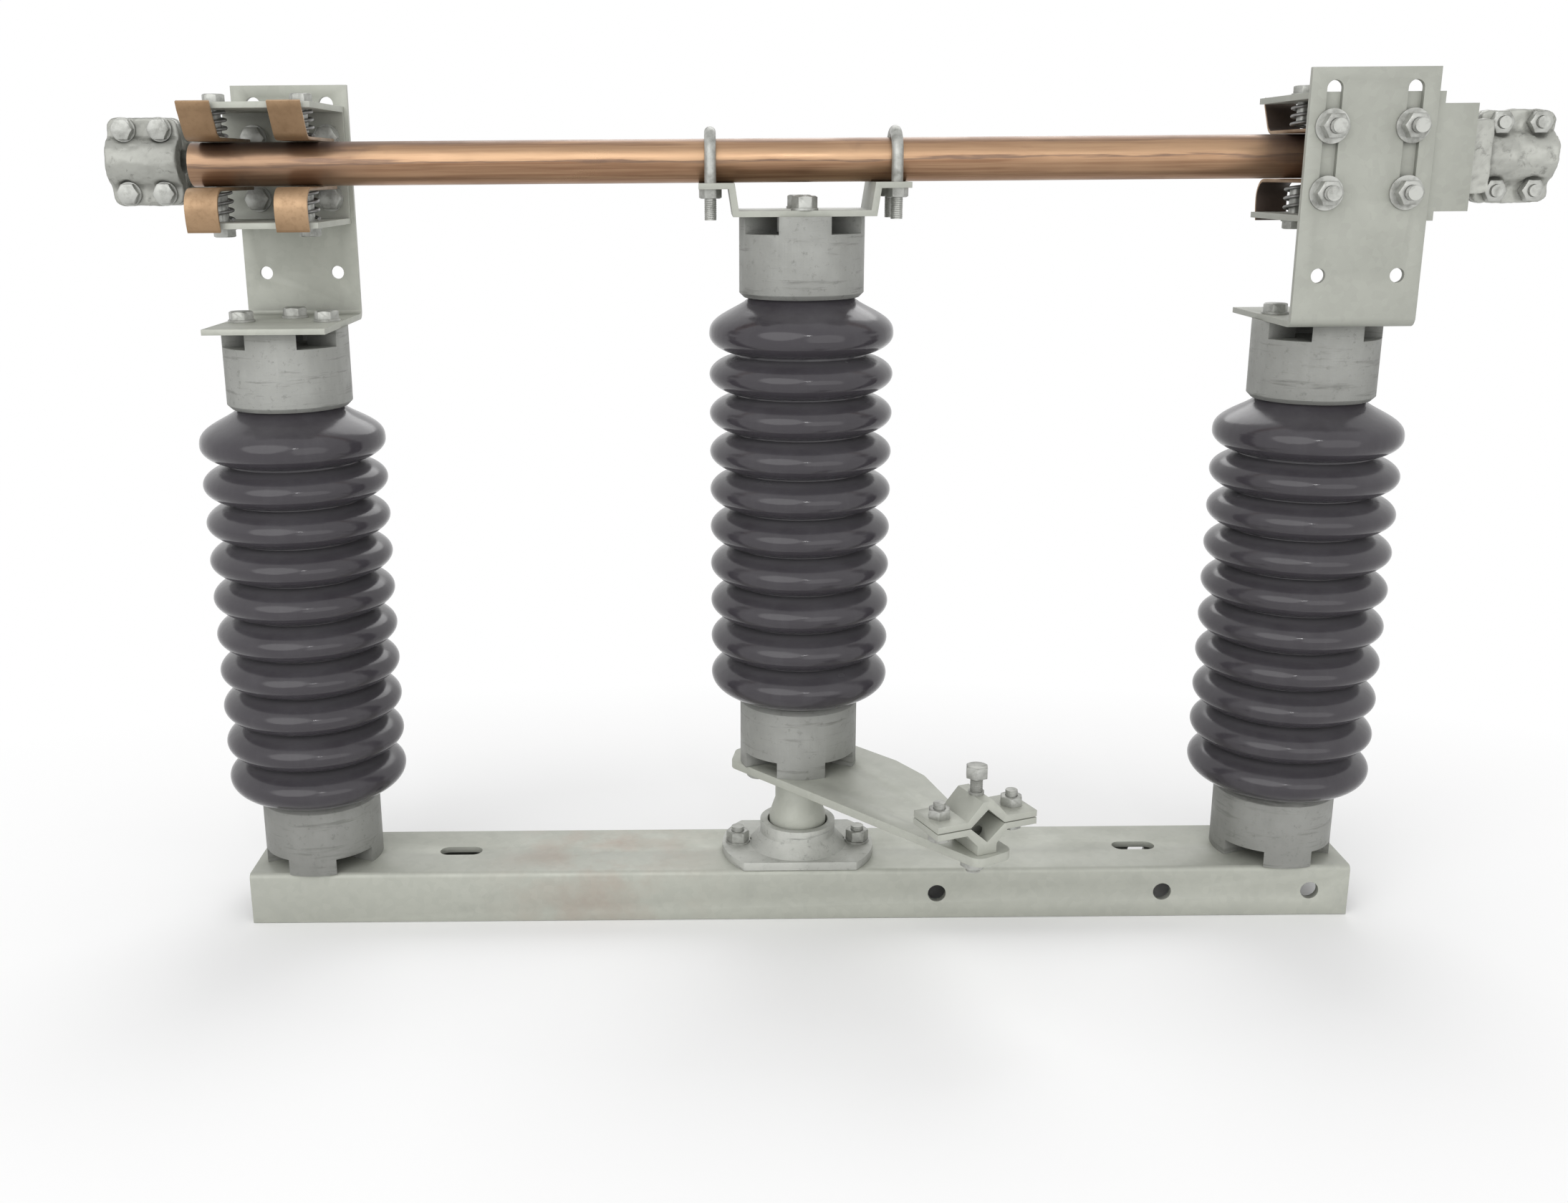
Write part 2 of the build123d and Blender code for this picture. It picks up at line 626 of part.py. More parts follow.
def lower_finger():
    """A strip below the tube whose front end turns down in a round nose before the floor."""
    top = TUBE_Z - TUBE_R - FINGER_GAP
    t = FINGER_T
    r = FINGER_NOSE_R
    far = FINGER_DROP_R
    cy = -FINGER_NOSE_Y + r
    cz = top - r
    oy = -FINGER_NOSE_Y + far
    diag = math.sqrt(0.5)
    half = math.asin(FINGER_DROP / far) / 2

    def low(radius, angle):
        return (oy - radius * math.cos(angle), cz - radius * math.sin(angle))

    line = Line((FINGER_BACK, top), (cy, top))
    line += ThreePointArc((cy, top), (cy - r * diag, cz + r * diag), (cy - r, cz))
    line += ThreePointArc((cy - r, cz), low(far, half), low(far, 2 * half))
    line += Line(low(far, 2 * half), low(far - t, 2 * half))
    line += ThreePointArc(low(far - t, 2 * half), low(far - t, half), (cy - r + t, cz))
    line += ThreePointArc((cy - r + t, cz), (cy - (r - t) * diag, cz + (r - t) * diag), (cy, top - t))
    line += Line((cy, top - t), (FINGER_BACK, top - t))
    line += Line((FINGER_BACK, top - t), (FINGER_BACK, top))
    return make_face(line)


def contact_fingers():
    out = []
    for x in FINGER_X:
        for face in (upper_finger(), lower_finger()):
            out.append(Pos(-x, 0, 0) * extrude(Plane.YZ * face, FINGER_W / 2, both=True))
    return out


def contact_springs():
    """Plain sleeves standing for coil springs between flange and finger."""
    out = []
    reach = TUBE_R + FINGER_GAP + FINGER_T
    spans = ((TUBE_Z + reach, HOUSING_HIGH - HOUSING_T), (HOUSING_LOW + HOUSING_T, TUBE_Z - reach))
    for x in FINGER_X:
        for low, high in spans:
            sleeve = tube_z(SPRING_R, low, high, -x, 0)
            out.append(sleeve - tube_z(SPRING_R - SPRING_WIRE, low - 1, high + 1, -x, 0))
    return out


def spring_bolts():
    out = []
    reach = TUBE_R + FINGER_GAP + FINGER_T + 4.0
    for x in FINGER_X:
        up = bolt(M10_R, M10_AF, M10_HEAD, HOUSING_HIGH - TUBE_Z - reach)
        down = bolt(M10_R, M10_AF, M10_HEAD, TUBE_Z - reach - HOUSING_LOW)
        out.append(Pos(-x, 0, HOUSING_HIGH) * up)
        out.append(Pos(-x, 0, HOUSING_LOW) * Rot(180, 0, 0) * down)
    return out


def housing_bolts():
    """Heads inside the housing, washers and nuts on the bracket's back."""
    out = []
    for dx in (-BOLT_DX, BOLT_DX):
        for z in HOUSING_BOLT_Z:
            x = -COLUMN_X + dx
            one = bolt(M12_R, M12_AF, M12_HEAD, HOUSING_T + BRACKET_T + M12_NUT + 9.0)
            out.append(Pos(x, HOUSING_FACE, z) * Rot(90, 0, 0) * one)
            plate = Pos(0, 0, WASHER / 2) * Cylinder(14.0, WASHER) - Cylinder(M12_R + THREAD_GAP, 20)
            nut_set = plate + Pos(0, 0, WASHER) * nut(M12_R, M12_AF, M12_NUT)
            out.append(Pos(x, BRACKET_Y, z) * Rot(-90, 0, 0) * nut_set)
    return out


# ------------------------------------------------------------ terminal connector
def connector_half():
    """A clamp half: split face on Y = 0, shell and ears standing to +Y."""
    split = CONN_SPLIT / 2
    shell = rod_x(CONN_SHELL_R, -CONN_L / 2, CONN_L / 2, 0, 0)
    ears = box(-CONN_L / 2, CONN_L / 2, 0, CONN_EAR_T, -CONN_EAR, CONN_EAR)
    ears = fillet(ears.edges().filter_by(Axis.Y), CONN_EAR_R)
    body = shell + ears
    body = body & box(-CONN_L, CONN_L, split, 2 * CONN_SHELL_R, -2 * CONN_EAR, 2 * CONN_EAR)
    body -= rod_x(CONN_BORE_R, -CONN_L, CONN_L, 0, 0)
    for x in (-CONN_BOLT_DX, CONN_BOLT_DX):
        for z in (-CONN_BOLT_DZ, CONN_BOLT_DZ):
            body -= rod_y(M10_R + HOLE_GAP, -5, 2 * CONN_SHELL_R, x, z)
            body -= rod_y(CONN_SPOT_R, CONN_EAR_T, 2 * CONN_SHELL_R, x, z)
    return body


def connector_place(item, out, up):
    return Pos(-COLUMN_X - out, CONN_Y, TUBE_Z + up) * item


def connector_body(out, up):
    """The half next to the pad, with a web and a flat palm that lies on the pad."""
    body = connector_half()
    inner = CONN_L / 2 - WEB_IN
    near = out - HOUSING_OUT - PALM_GAP
    palm = box(inner, near, CONN_OFF - PALM_T, CONN_OFF, -PALM_H / 2, PALM_H / 2)
    web = box(inner, CONN_L / 2 + WEB_OUT, CONN_SPLIT / 2 + 2.0, CONN_OFF, -WEB_H / 2, WEB_H / 2)
    body = body + palm + web
    body -= rod_x(CONN_BORE_R, -CONN_L, CONN_L, 0, 0)
    return connector_place(body, out, up)


def connector_keeper(out, up):
    return connector_place(Rot(0, 0, 180) * connector_half(), out, up)


def connector_bolts(out, up):
    made = []
    for x in (-CONN_BOLT_DX, CONN_BOLT_DX):
        for z in (-CONN_BOLT_DZ, CONN_BOLT_DZ):
            one = bolt(M10_R, M10_AF, M10_HEAD, 2 * CONN_EAR_T + M10_NUT + 3.0)
            made.append(connector_place(Pos(x, -CONN_EAR_T, z) * Rot(90, 0, 0) * one, out, up))
            back = Pos(x, CONN_EAR_T, z) * Rot(-90, 0, 0) * nut(M10_R, M10_AF, M10_NUT)
            made.append(connector_place(back, out, up))
    return made


# ---------------------------------------------------------------------- write out
def as_list(item):
    return item if isinstance(item, list) else [item]


def write_pair(name, item):
    """One piece for each fixed column: as drawn, and turned half round."""
    items = as_list(item)
    write("left_" + name, *items)
    write("right_" + name, *[Rot(0, 0, 180) * one for one in items])


ins_body = porcelain()
ins_top = top_cap()
ins_bottom = bottom_cap()

write("base_channel", base_channel())
write("base_bolts", *base_bolts())
write("bearing_pedestal", bearing_pedestal())
write("pedestal_bolts", *pedestal_bolts())

write_pair("bottom_cap", Pos(-COLUMN_X, 0, BASE_H) * ins_bottom)
write_pair("porcelain", Pos(-COLUMN_X, 0, BASE_H) * ins_body)
write_pair("top_cap", Pos(-COLUMN_X, 0, BASE_H) * ins_top)
write_pair("terminal_bracket", terminal_bracket())
write_pair("bracket_bolts", bracket_bolts())
write_pair("contact_housing", contact_housing())
write_pair("housing_bolts", housing_bolts())
write_pair("contact_fingers", contact_fingers())
write_pair("contact_springs", contact_springs())
write_pair("spring_bolts", spring_bolts())
write("left_connector_body", connector_body(LEFT_CONN_OUT, LEFT_CONN_UP))
write("left_connector_keeper", connector_keeper(LEFT_CONN_OUT, LEFT_CONN_UP))
write("left_connector_bolts", *connector_bolts(LEFT_CONN_OUT, LEFT_CONN_UP))
write("right_connector_body", Rot(0, 0, 180) * connector_body(RIGHT_CONN_OUT, RIGHT_CONN_UP))
write("right_connector_keeper", Rot(0, 0, 180) * connector_keeper(RIGHT_CONN_OUT, RIGHT_CONN_UP))
write("right_connector_bolts", *[Rot(0, 0, 180) * one for one in connector_bolts(RIGHT_CONN_OUT, RIGHT_CONN_UP)])

write("bearing_post", bearing_post())
write("lever_plate", lever_plate())
write("lever_bolts", *lever_bolts())
write("rotor_bottom_cap", Pos(0, 0, LEVER_TOP) * ins_bottom)
write("rotor_porcelain", Pos(0, 0, LEVER_TOP) * ins_body)
write("rotor_top_cap", Pos(0, 0, LEVER_TOP) * ins_top)
write("tube_saddle", tube_saddle())
write("saddle_bolts", *saddle_bolts())
write("contact_tube", contact_tube())
write("u_bolts", *u_bolts())
write("u_bolt_nuts", *u_bolt_nuts())

write("clamp_upper", clamp_upper())
write("clamp_lower", clamp_lower())
write("clamp_bolts", *clamp_bolts())
write("clamp_stud", *clamp_stud())
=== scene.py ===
"""Finish for one pole of a centre-rotating disconnect switch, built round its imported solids."""

import json
import math

import bpy
from bpy.props import FloatProperty, FloatVectorProperty, IntProperty, PointerProperty
from bpy.types import Operator, Panel, PropertyGroup
from mathutils import Euler, Matrix, Vector

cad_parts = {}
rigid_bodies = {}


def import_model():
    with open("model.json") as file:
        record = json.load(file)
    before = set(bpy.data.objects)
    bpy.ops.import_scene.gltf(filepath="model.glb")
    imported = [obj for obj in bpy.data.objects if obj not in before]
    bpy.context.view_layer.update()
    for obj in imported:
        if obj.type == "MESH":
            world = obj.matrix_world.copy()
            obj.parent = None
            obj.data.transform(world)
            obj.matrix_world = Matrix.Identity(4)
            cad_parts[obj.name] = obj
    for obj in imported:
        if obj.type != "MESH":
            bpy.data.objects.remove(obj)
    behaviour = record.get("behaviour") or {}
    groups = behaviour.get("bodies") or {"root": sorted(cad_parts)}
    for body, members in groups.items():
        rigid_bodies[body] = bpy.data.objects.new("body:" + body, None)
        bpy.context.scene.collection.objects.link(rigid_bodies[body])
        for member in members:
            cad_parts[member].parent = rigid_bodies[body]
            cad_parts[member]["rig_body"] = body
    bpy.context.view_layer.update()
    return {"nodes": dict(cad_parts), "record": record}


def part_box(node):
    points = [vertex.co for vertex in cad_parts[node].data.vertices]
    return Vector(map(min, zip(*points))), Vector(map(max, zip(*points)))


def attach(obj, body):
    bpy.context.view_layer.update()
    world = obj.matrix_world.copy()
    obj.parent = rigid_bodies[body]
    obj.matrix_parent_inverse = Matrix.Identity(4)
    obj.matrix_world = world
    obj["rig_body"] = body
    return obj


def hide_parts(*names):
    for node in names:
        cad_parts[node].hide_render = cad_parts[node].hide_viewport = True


bl_info = {
    "name": "Disconnect Switch Pole",
    "version": (1, 0, 0),
    "blender": (4, 5, 0),
    "location": "3D View > Sidebar > Switch",
    "description": "Dresses the packed disconnect switch with sheds, springs, threads and finishes",
    "category": "Object",
}

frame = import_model()
SIDES = ("left", "right")
COLUMNS = ("left", "rotor", "right")

# Free lengths of thread that show, in metres
HOUSING_BOLT_END = 0.0075
PEDESTAL_BOLT_END = 0.0045
FLANGE_BOLT_END = 0.0047
STUD_END = 0.0048

# The set bolt's head and collar, which stay plain above its thread, in metres
SET_BOLT_HEAD = 0.0098

# Painted shade for corners, windows and folds and for the inside of the channel, and the spot where
# rust bleeds
PLATE_SHADE = (0.07, 0.07, 0.068)
CASTING_SHADE = (0.05, 0.05, 0.05)
CHANNEL_SHADE = (0.04, 0.04, 0.04)
CHANNEL_INSIDE_Y = (0.0434, 0.0424)
CHANNEL_INSIDE_Z = (0.0448, 0.0436)
RUST_SPOT = (-0.19, -0.01, 0.05)

# Where along X the fingers grip the tube, and where its ends are wiped clean
GRIP = (0.360, 0.415)
WIPED_END = (0.529, 0.505)

# Form of the sheds: fullness of the noses, of the top shed's flank, and where a flank stops
NOSE_POWER = 0.55
FLANK_POWER = 1.4
FLANK_END = 0.97

# The share of the pitch that a thread ridge covers, its crest at half of it
RIDGE = 0.86

# Distances below which vertices are one, on the solids' copies and on turned pieces
COPY_WELD = 1e-5
TURNED_WELD = 1e-6

# Area lamps: name, place, width in metres, watts
LAMPS = (
    ("key_lamp", (-1.6, -2.8, 2.1), 3.6, 54.0),
    ("fill_lamp", (1.4, -2.8, 0.8), 2.8, 18.0),
    ("back_lamp", (0.4, 2.4, 2.6), 2.6, 30.0),
    ("glint_lamp", (0.25, -2.6, 1.9), 0.20, 3.4),
)
LAMP_AIM = (0.0, 0.0, 0.38)
SKY_LIGHT, SKY_SEEN = 0.72, 1.0
FLOOR_GLOW = (0.30, 0.66)


# ------------------------------------------------------------------ properties
def colour(name, description, default):
    """A colour that a user may change."""
    return FloatVectorProperty(name=name, description=description, default=default,
                               subtype="COLOR", size=3, min=0.0, max=1.0)


def length(name, description, default):
    """A length in metres."""
    return FloatProperty(name=name, description=description, default=default,
                         subtype="DISTANCE", unit="LENGTH", precision=5)


class SwitchFinish(PropertyGroup):
    """Colours of the finishes"""

    zinc: colour("Zinc", "Galvanised plate", (0.43, 0.44, 0.39))
    # Stains, and also the painted shade on the plates high up to the right
    zinc_stain_and_shade: colour("Zinc stain", "Darker spangle and handling marks", (0.23, 0.235, 0.21))
    rust: colour("Rust bleed", "Faint rust that bleeds on to the channel", (0.36, 0.24, 0.19))
    casting: colour("Casting", "Galvanised cast iron", (0.33, 0.335, 0.315))
    casting_dark: colour("Casting stain", "Grime in the castings", (0.11, 0.11, 0.10))
    bearing: colour("Bearing casting", "Brighter zinc of pedestal and post", (0.66, 0.67, 0.625))
    glaze: colour("Glaze", "Porcelain glaze", (0.044, 0.040, 0.046))
    dust: colour("Dust", "Dust that lies on the sheds", (0.105, 0.102, 0.110))
    # Painted light in the valleys between the sheds
    valley_painted_light: colour("Valley light", "Painted light between the sheds", (0.17, 0.165, 0.175))
    copper: colour("Copper", "Bright copper of the tube", (0.48, 0.312, 0.188))
    copper_mid: colour("Brown copper", "Weathered copper", (0.235, 0.128, 0.072))
    # Tarnish at the grips and in patches, and also the painted shade along the top of the tube
    copper_tarnish_and_top_shade: colour("Mauve copper", "Tarnish, and painted shade along the top of the tube", (0.175, 0.114, 0.082))
    # Oxide and soot, and also the painted dark reflection along the tube
    copper_oxide_and_dark_reflection: colour("Oxide", "Dark oxide on the copper", (0.060, 0.045, 0.050))
    finger: colour("Finger", "Contact finger copper", (0.43, 0.285, 0.165))
    # Browned faces, and also the painted shade where the fingers look down
    finger_brown_and_shade: colour("Worn finger", "Browned face of the contact finger", (0.145, 0.085, 0.040))
    # Painted shade on the backs of the fingers
    finger_back_shade: colour("Finger back", "Painted shade on the back of the contact finger", (0.045, 0.035, 0.033))
    aluminium: colour("Aluminium", "Rough cast aluminium", (0.42, 0.425, 0.39))
    # Pits and grime, and also the painted shade in creases and corners
    aluminium_pits_and_shade: colour("Aluminium pits", "Grime in the cast aluminium", (0.10, 0.10, 0.09))
    steel: colour("Bolt zinc", "Plated bolts and nuts", (0.42, 0.425, 0.40))
    # Grime, and also the painted shade in creases and on the tops
    steel_grime_and_shade: colour("Bolt grime", "Grime on bolts, nuts and threads", (0.12, 0.12, 0.105))
    spring: colour("Spring", "Spring wire", (0.30, 0.30, 0.295))


class SwitchSizes(PropertyGroup):
    """Sizes of the edges, sheds, springs, threads and lumps"""

    plate_edge: length("Plate edge", "Rounding of sheared plate edges", 0.0006)
    fold_edge: length("Fold edge", "Rounding of the channel's folds", 0.0022)
    casting_edge: length("Casting edge", "Rounding of cast edges", 0.0018)
    bolt_edge: length("Bolt edge", "Rounding of bolt heads and nuts", 0.0005)
    shed_valley: length("Shed valley", "Radius of the glaze between two sheds", 0.052)
    spring_wire: length("Spring wire", "Radius of the spring wire", 0.0015)
    spring_pitch: length("Spring pitch", "Rise of one spring turn", 0.0066)
    thread_pitch: length("Thread pitch", "Pitch of the visible threads", 0.0016)
    thread_proud: length("Thread crest", "Height of the thread crests over the shank", 0.00035)
    thick_shank: length("Thick shank", "Radius of the M12 shanks", 0.006)
    thin_shank: length("Thin shank", "Radius of the M10 shanks", 0.005)
    lump: length("Casting lumps", "Depth of the lumps on the rough castings", 0.0026)
    lump_grain: length("Lump size", "Width of the lumps on the rough castings", 0.015)
    voxel: length("Casting mesh", "Cell size of the rough castings' mesh", 0.0015)


class SwitchStage(PropertyGroup):
    """The camera and the floor"""

    lens: FloatProperty(name="Lens", description="Focal length in millimetres", default=35.41)
    eye: FloatVectorProperty(name="Eye", description="Place of the camera", size=3, subtype="XYZ",
                             unit="LENGTH", default=(-0.0822, -1.3881, 0.6899))
    tilt: FloatProperty(name="Tilt", description="Downward tilt of the camera", subtype="ANGLE",
                        default=math.radians(15.121))
    turn: FloatProperty(name="Turn", description="Turn of the camera to the right", subtype="ANGLE",
                        default=math.radians(0.041))
    roll: FloatProperty(name="Roll", description="Roll of the camera", subtype="ANGLE",
                        default=math.radians(0.451))
    shift_x: FloatProperty(name="Shift X", description="Sideways lens shift", default=0.0459)
    shift_y: FloatProperty(name="Shift Y", description="Upward lens shift", default=-0.0092)
    floor: colour("Floor", "Pale floor", (0.93, 0.93, 0.93))


# ---------------------------------------------------------------- shader helpers
class Finish:
    """One node material: a Principled surface and the few textures that feed it."""

    def __init__(self, name, **sockets):
        self.material = bpy.data.materials.new(name)
        self.material.use_nodes = True
        self.tree = self.material.node_tree
        self.surface = self.tree.nodes["Principled BSDF"]
        for socket, value in sockets.items():
            self.surface.inputs[socket.replace("_", " ")].default_value = value
        self.place = self.node("ShaderNodeTexCoord").outputs["Object"]
        self.height = None

    def node(self, kind, **inputs):
        """A new node, each of its named sockets set or linked."""
        made = self.tree.nodes.new(kind)
        for socket, value in inputs.items():
            self.feed(made.inputs[socket.replace("_", " ")], value)
        return made

    def feed(self, socket, value):
        """Link a socket to another, or set it to a number or a colour."""
        if isinstance(value, bpy.types.NodeSocket):
            self.tree.links.new(value, socket)
        elif hasattr(value, "__len__") and len(value) == 3 and len(socket.default_value) == 4:
            socket.default_value = (*value, 1.0)
        else:
            socket.default_value = value

    def stretched(self, scale):
        mapping = self.node("ShaderNodeMapping", Vector=self.place)
        mapping.inputs["Scale"].default_value = scale
        return mapping.outputs["Vector"]

    def noise(self, scale, detail=3.0, rough=0.5, stretch=None, distortion=0.0):
        vector = self.stretched(stretch) if stretch else self.place
        made = self.node("ShaderNodeTexNoise", Vector=vector, Scale=scale, Detail=detail,
                         Roughness=rough, Distortion=distortion)
        return made.outputs["Fac"]

    def cells(self, scale):
        return self.node("ShaderNodeTexVoronoi", Vector=self.place, Scale=scale).outputs["Color"]

    def ramp(self, factor, low, high, start=0.0, end=1.0):
        """Start at low, end at high and even between, held outside them."""
        made = self.node("ShaderNodeMapRange", Value=factor)
        made.clamp = True
        for socket, value in (("From Min", low), ("From Max", high),
                              ("To Min", start), ("To Max", end)):
            made.inputs[socket].default_value = value
        return made.outputs["Result"]

    def mix(self, factor, first, second):
        made = self.tree.nodes.new("ShaderNodeMix")
        made.data_type = "RGBA"
        self.feed(made.inputs[0], factor)
        self.feed(made.inputs[6], first)
        self.feed(made.inputs[7], second)
        return made.outputs[2]

    def maths(self, operation, first, second=0.0):
        made = self.tree.nodes.new("ShaderNodeMath")
        made.operation = operation
        self.feed(made.inputs[0], first)
        self.feed(made.inputs[1], second)
        return made.outputs[0]

    def times(self, first, second):
        return self.maths("MULTIPLY", first, second)

    def magnitude(self, value):
        return self.maths("ABSOLUTE", value)

    def coat(self, base, where, share, over):
        """A base with some share of another colour laid over part of it."""
        return self.mix(self.times(where, share), base, over)

    def along(self, axis, vector=None):
        """One coordinate of a vector, or of the point itself."""
        return self.node("ShaderNodeSeparateXYZ", Vector=vector or self.place).outputs[axis]

    def facing(self, axis):
        """How far the surface faces along an axis, from -1 to 1."""
        return self.along(axis, self.node("ShaderNodeNewGeometry").outputs["Normal"])

    def corners(self, reach, open_at=0.80, shut_at=0.25):
        """1 deep inside folds, windows and corners, 0 on open faces: the mask for painted shade and
        painted light.
        """
        made = self.node("ShaderNodeAmbientOcclusion", Distance=reach)
        made.only_local = True
        made.samples = 6
        return self.ramp(made.outputs["AO"], open_at, shut_at)

    def bump(self, height, depth, strength):
        """Add a bump on top of those already there."""
        made = self.node("ShaderNodeBump", Height=height, Distance=depth, Strength=strength)
        if self.height is not None:
            self.tree.links.new(self.height, made.inputs["Normal"])
        self.height = made.outputs["Normal"]

    def done(self, base, rough=None):
        """Feed the surface and give the finished material."""
        self.feed(self.surface.inputs["Base Color"], base)
        if rough is not None:
            self.feed(self.surface.inputs["Roughness"], rough)
        if self.height is not None:
            self.tree.links.new(self.height, self.surface.inputs["Normal"])
        return self.material


def zinc_plate(name, bright, dark, rust):
    """Matt galvanised plate: soft clouds, faint spangle, handling marks, one rust bleed, and
    painted shade in corners, inside the channel and high up to the right.
    """
    made = Finish(name, Metallic=0.25)
    clouds = made.ramp(made.noise(5.0, 4.0, 0.55), 0.35, 0.68)
    marks = made.ramp(made.noise(30.0, 5.0, 0.62, distortion=0.4), 0.58, 0.80)
    spangle = made.ramp(made.cells(160.0), 0.0, 1.0, 0.96, 1.04)
    base = made.coat(bright, clouds, 0.16, dark)
    base = made.coat(base, marks, 0.22, dark)
    # Painted shade: the plates darker high up, more so towards the right
    high = made.ramp(made.along("Z"), 0.20, 0.55)
    painted_shade_high_right = made.times(high, made.ramp(made.along("X"), -0.4, 0.4, 0.10, 0.42))
    base = made.mix(painted_shade_high_right, base, dark)
    # Painted shade in the corners, folds and windows of the plates
    base = made.coat(base, made.corners(0.045), 0.80, PLATE_SHADE)
    spot = made.node("ShaderNodeVectorMath", Vector=made.place)
    spot.operation = "DISTANCE"
    spot.inputs[1].default_value = RUST_SPOT
    near = made.ramp(spot.outputs["Value"], 0.13, 0.03)
    bleed = made.ramp(made.noise(22.0, 4.0, 0.6), 0.42, 0.66)
    base = made.coat(base, made.times(bleed, near), 0.42, rust)
    # Painted shade: the inside of the channel darkened
    across = made.ramp(made.magnitude(made.along("Y")), *CHANNEL_INSIDE_Y)
    inside = made.times(made.ramp(made.along("Z"), *CHANNEL_INSIDE_Z), across)
    base = made.coat(base, inside, 0.75, CHANNEL_SHADE)
    shade = made.node("ShaderNodeHueSaturation", Color=base, Value=spangle).outputs["Color"]
    made.bump(made.noise(620.0, 2.0), 0.00006, 0.5)
    made.bump(made.noise(55.0, 3.0), 0.0004, 0.3)
    return made.done(shade, made.ramp(made.noise(24.0, 4.0), 0.3, 0.7, 0.46, 0.64))


def zinc_casting(name, bright, dark):
    """Galvanised casting: sandy grain, pits and grime that gathers in streaks, painted shade in
    windows and corners, and darker towards the bottom.
    """
    made = Finish(name, Metallic=0.25)
    clouds = made.ramp(made.noise(11.0, 5.0, 0.6), 0.35, 0.7)
    pits = made.ramp(made.noise(170.0, 5.0, 0.75), 0.57, 0.70)
    bands = made.noise(62.0, 5.0, 0.7, stretch=(0.22, 0.22, 2.6))
    lines = made.ramp(bands, 0.56, 0.68)
    runs = made.ramp(made.noise(30.0, 4.0, 0.6, stretch=(1.0, 1.0, 0.22)), 0.55, 0.78)
    base = made.coat(bright, clouds, 0.40, dark)
    base = made.coat(base, lines, 0.55, dark)
    base = made.coat(base, runs, 0.25, dark)
    base = made.coat(base, pits, 0.45, dark)
    # Darker towards the bottom
    base = made.mix(made.ramp(made.along("Z"), 0.17, 0.06, 0.0, 0.32), base, dark)
    # Painted shade in the windows and corners of the castings
    base = made.coat(base, made.corners(0.03), 0.80, CASTING_SHADE)
    made.bump(bands, 0.0005, 0.45)
    made.bump(made.noise(380.0, 4.0, 0.65), 0.00025, 0.8)
    made.bump(made.noise(48.0, 4.0, 0.55), 0.0009, 0.5)
    return made.done(base, made.ramp(made.noise(60.0, 3.0), 0.3, 0.7, 0.48, 0.7))


def brown_glaze(name, glaze, dust, valley):
    """Dark porcelain glaze with slow waves, a film of dust on what looks up and painted light in
    the valleys between sheds.
    """
    made = Finish(name, Specular_IOR_Level=0.38)
    dusty = made.ramp(made.facing("Z"), 0.1, 0.95)
    film = made.times(dusty, made.ramp(made.noise(22.0, 5.0, 0.6), 0.3, 0.75))
    streak = made.ramp(made.noise(60.0, 4.0, 0.6, stretch=(1.0, 1.0, 0.15)), 0.5, 0.8)
    base = made.coat(glaze, film, 0.45, dust)
    base = made.coat(base, streak, 0.15, dust)
    # Painted light: paler in the valleys between the sheds, where shade falls
    base = made.coat(base, made.corners(0.03, 0.55, 0.10), 0.75, valley)
    made.bump(made.noise(40.0, 2.0, 0.4), 0.0009, 0.5)
    made.bump(made.noise(190.0, 3.0, 0.6), 0.00012, 0.5)
    return made.done(base, made.ramp(film, 0.0, 1.0, 0.13, 0.30))


def weathered_copper(name, look):
    """Drawn copper tube: streaks along it, a painted highlight, a painted dark reflection line and
    painted shade along its top, sooty where the fingers grip.
    """
    made = Finish(name, Metallic=0.75)
    streaks = made.noise(150.0, 4.0, 0.6, stretch=(0.05, 1.0, 1.0))
    lines = made.noise(420.0, 3.0, 0.6, stretch=(0.02, 1.0, 1.0))
    rubbed = made.ramp(made.noise(9.0, 3.0, 0.5, stretch=(0.8, 1.6, 1.6)), 0.48, 0.66)
    patches = made.noise(24.0, 4.0, 0.6, stretch=(0.5, 1.0, 1.0), distortion=0.7)
    up = made.facing("Z")
    side = made.maths("ADD", up, made.ramp(streaks, 0.3, 0.7, -0.20, 0.20))
    # Painted highlight: a bright stripe a little above the middle of the tube
    band = made.ramp(made.magnitude(made.maths("SUBTRACT", side, 0.36)), 0.46, 0.16)
    # Painted shade along the top of the tube, in the colour of its tarnish
    painted_top_shade = made.ramp(side, 0.66, 0.92)
    base = made.mix(made.ramp(lines, 0.36, 0.66, 0.0, 0.45), look.copper_mid, look.copper)
    # The painted highlight, broken by the streaks
    bright = made.times(band, made.ramp(streaks, 0.3, 0.62, 0.35, 0.9))
    base = made.mix(bright, base, look.copper)
    base = made.coat(base, rubbed, 0.30, look.copper)
    # Painted reflection: a dark line along the middle of the tube
    painted_dark_reflection = made.ramp(made.magnitude(made.maths("SUBTRACT", side, 0.02)), 0.09, 0.01)
    base = made.coat(base, painted_dark_reflection, 0.55, look.copper_oxide_and_dark_reflection)
    # Painted shade along the top
    base = made.coat(base, painted_top_shade, 0.80, look.copper_tarnish_and_top_shade)
    reach = made.magnitude(made.along("X"))
    zone = made.times(made.ramp(reach, *GRIP), made.ramp(reach, *WIPED_END, 0.65, 1.0))
    lying = made.ramp(up, 0.0, 0.85, 0.0, 0.32)
    base = made.coat(base, zone, 0.45, look.copper_tarnish_and_top_shade)
    soot = made.ramp(made.maths("ADD", patches, made.times(zone, lying)), 0.58, 0.80)
    base = made.coat(base, made.times(soot, zone), 0.55, look.copper_oxide_and_dark_reflection)
    base = made.mix(made.ramp(patches, 0.60, 0.78, 0.0, 0.45), base, look.copper_tarnish_and_top_shade)
    made.bump(streaks, 0.00014, 0.4)
    made.bump(made.noise(260.0, 3.0), 0.00008, 0.5)
    return made.done(base, made.ramp(patches, 0.3, 0.7, 0.27, 0.46))


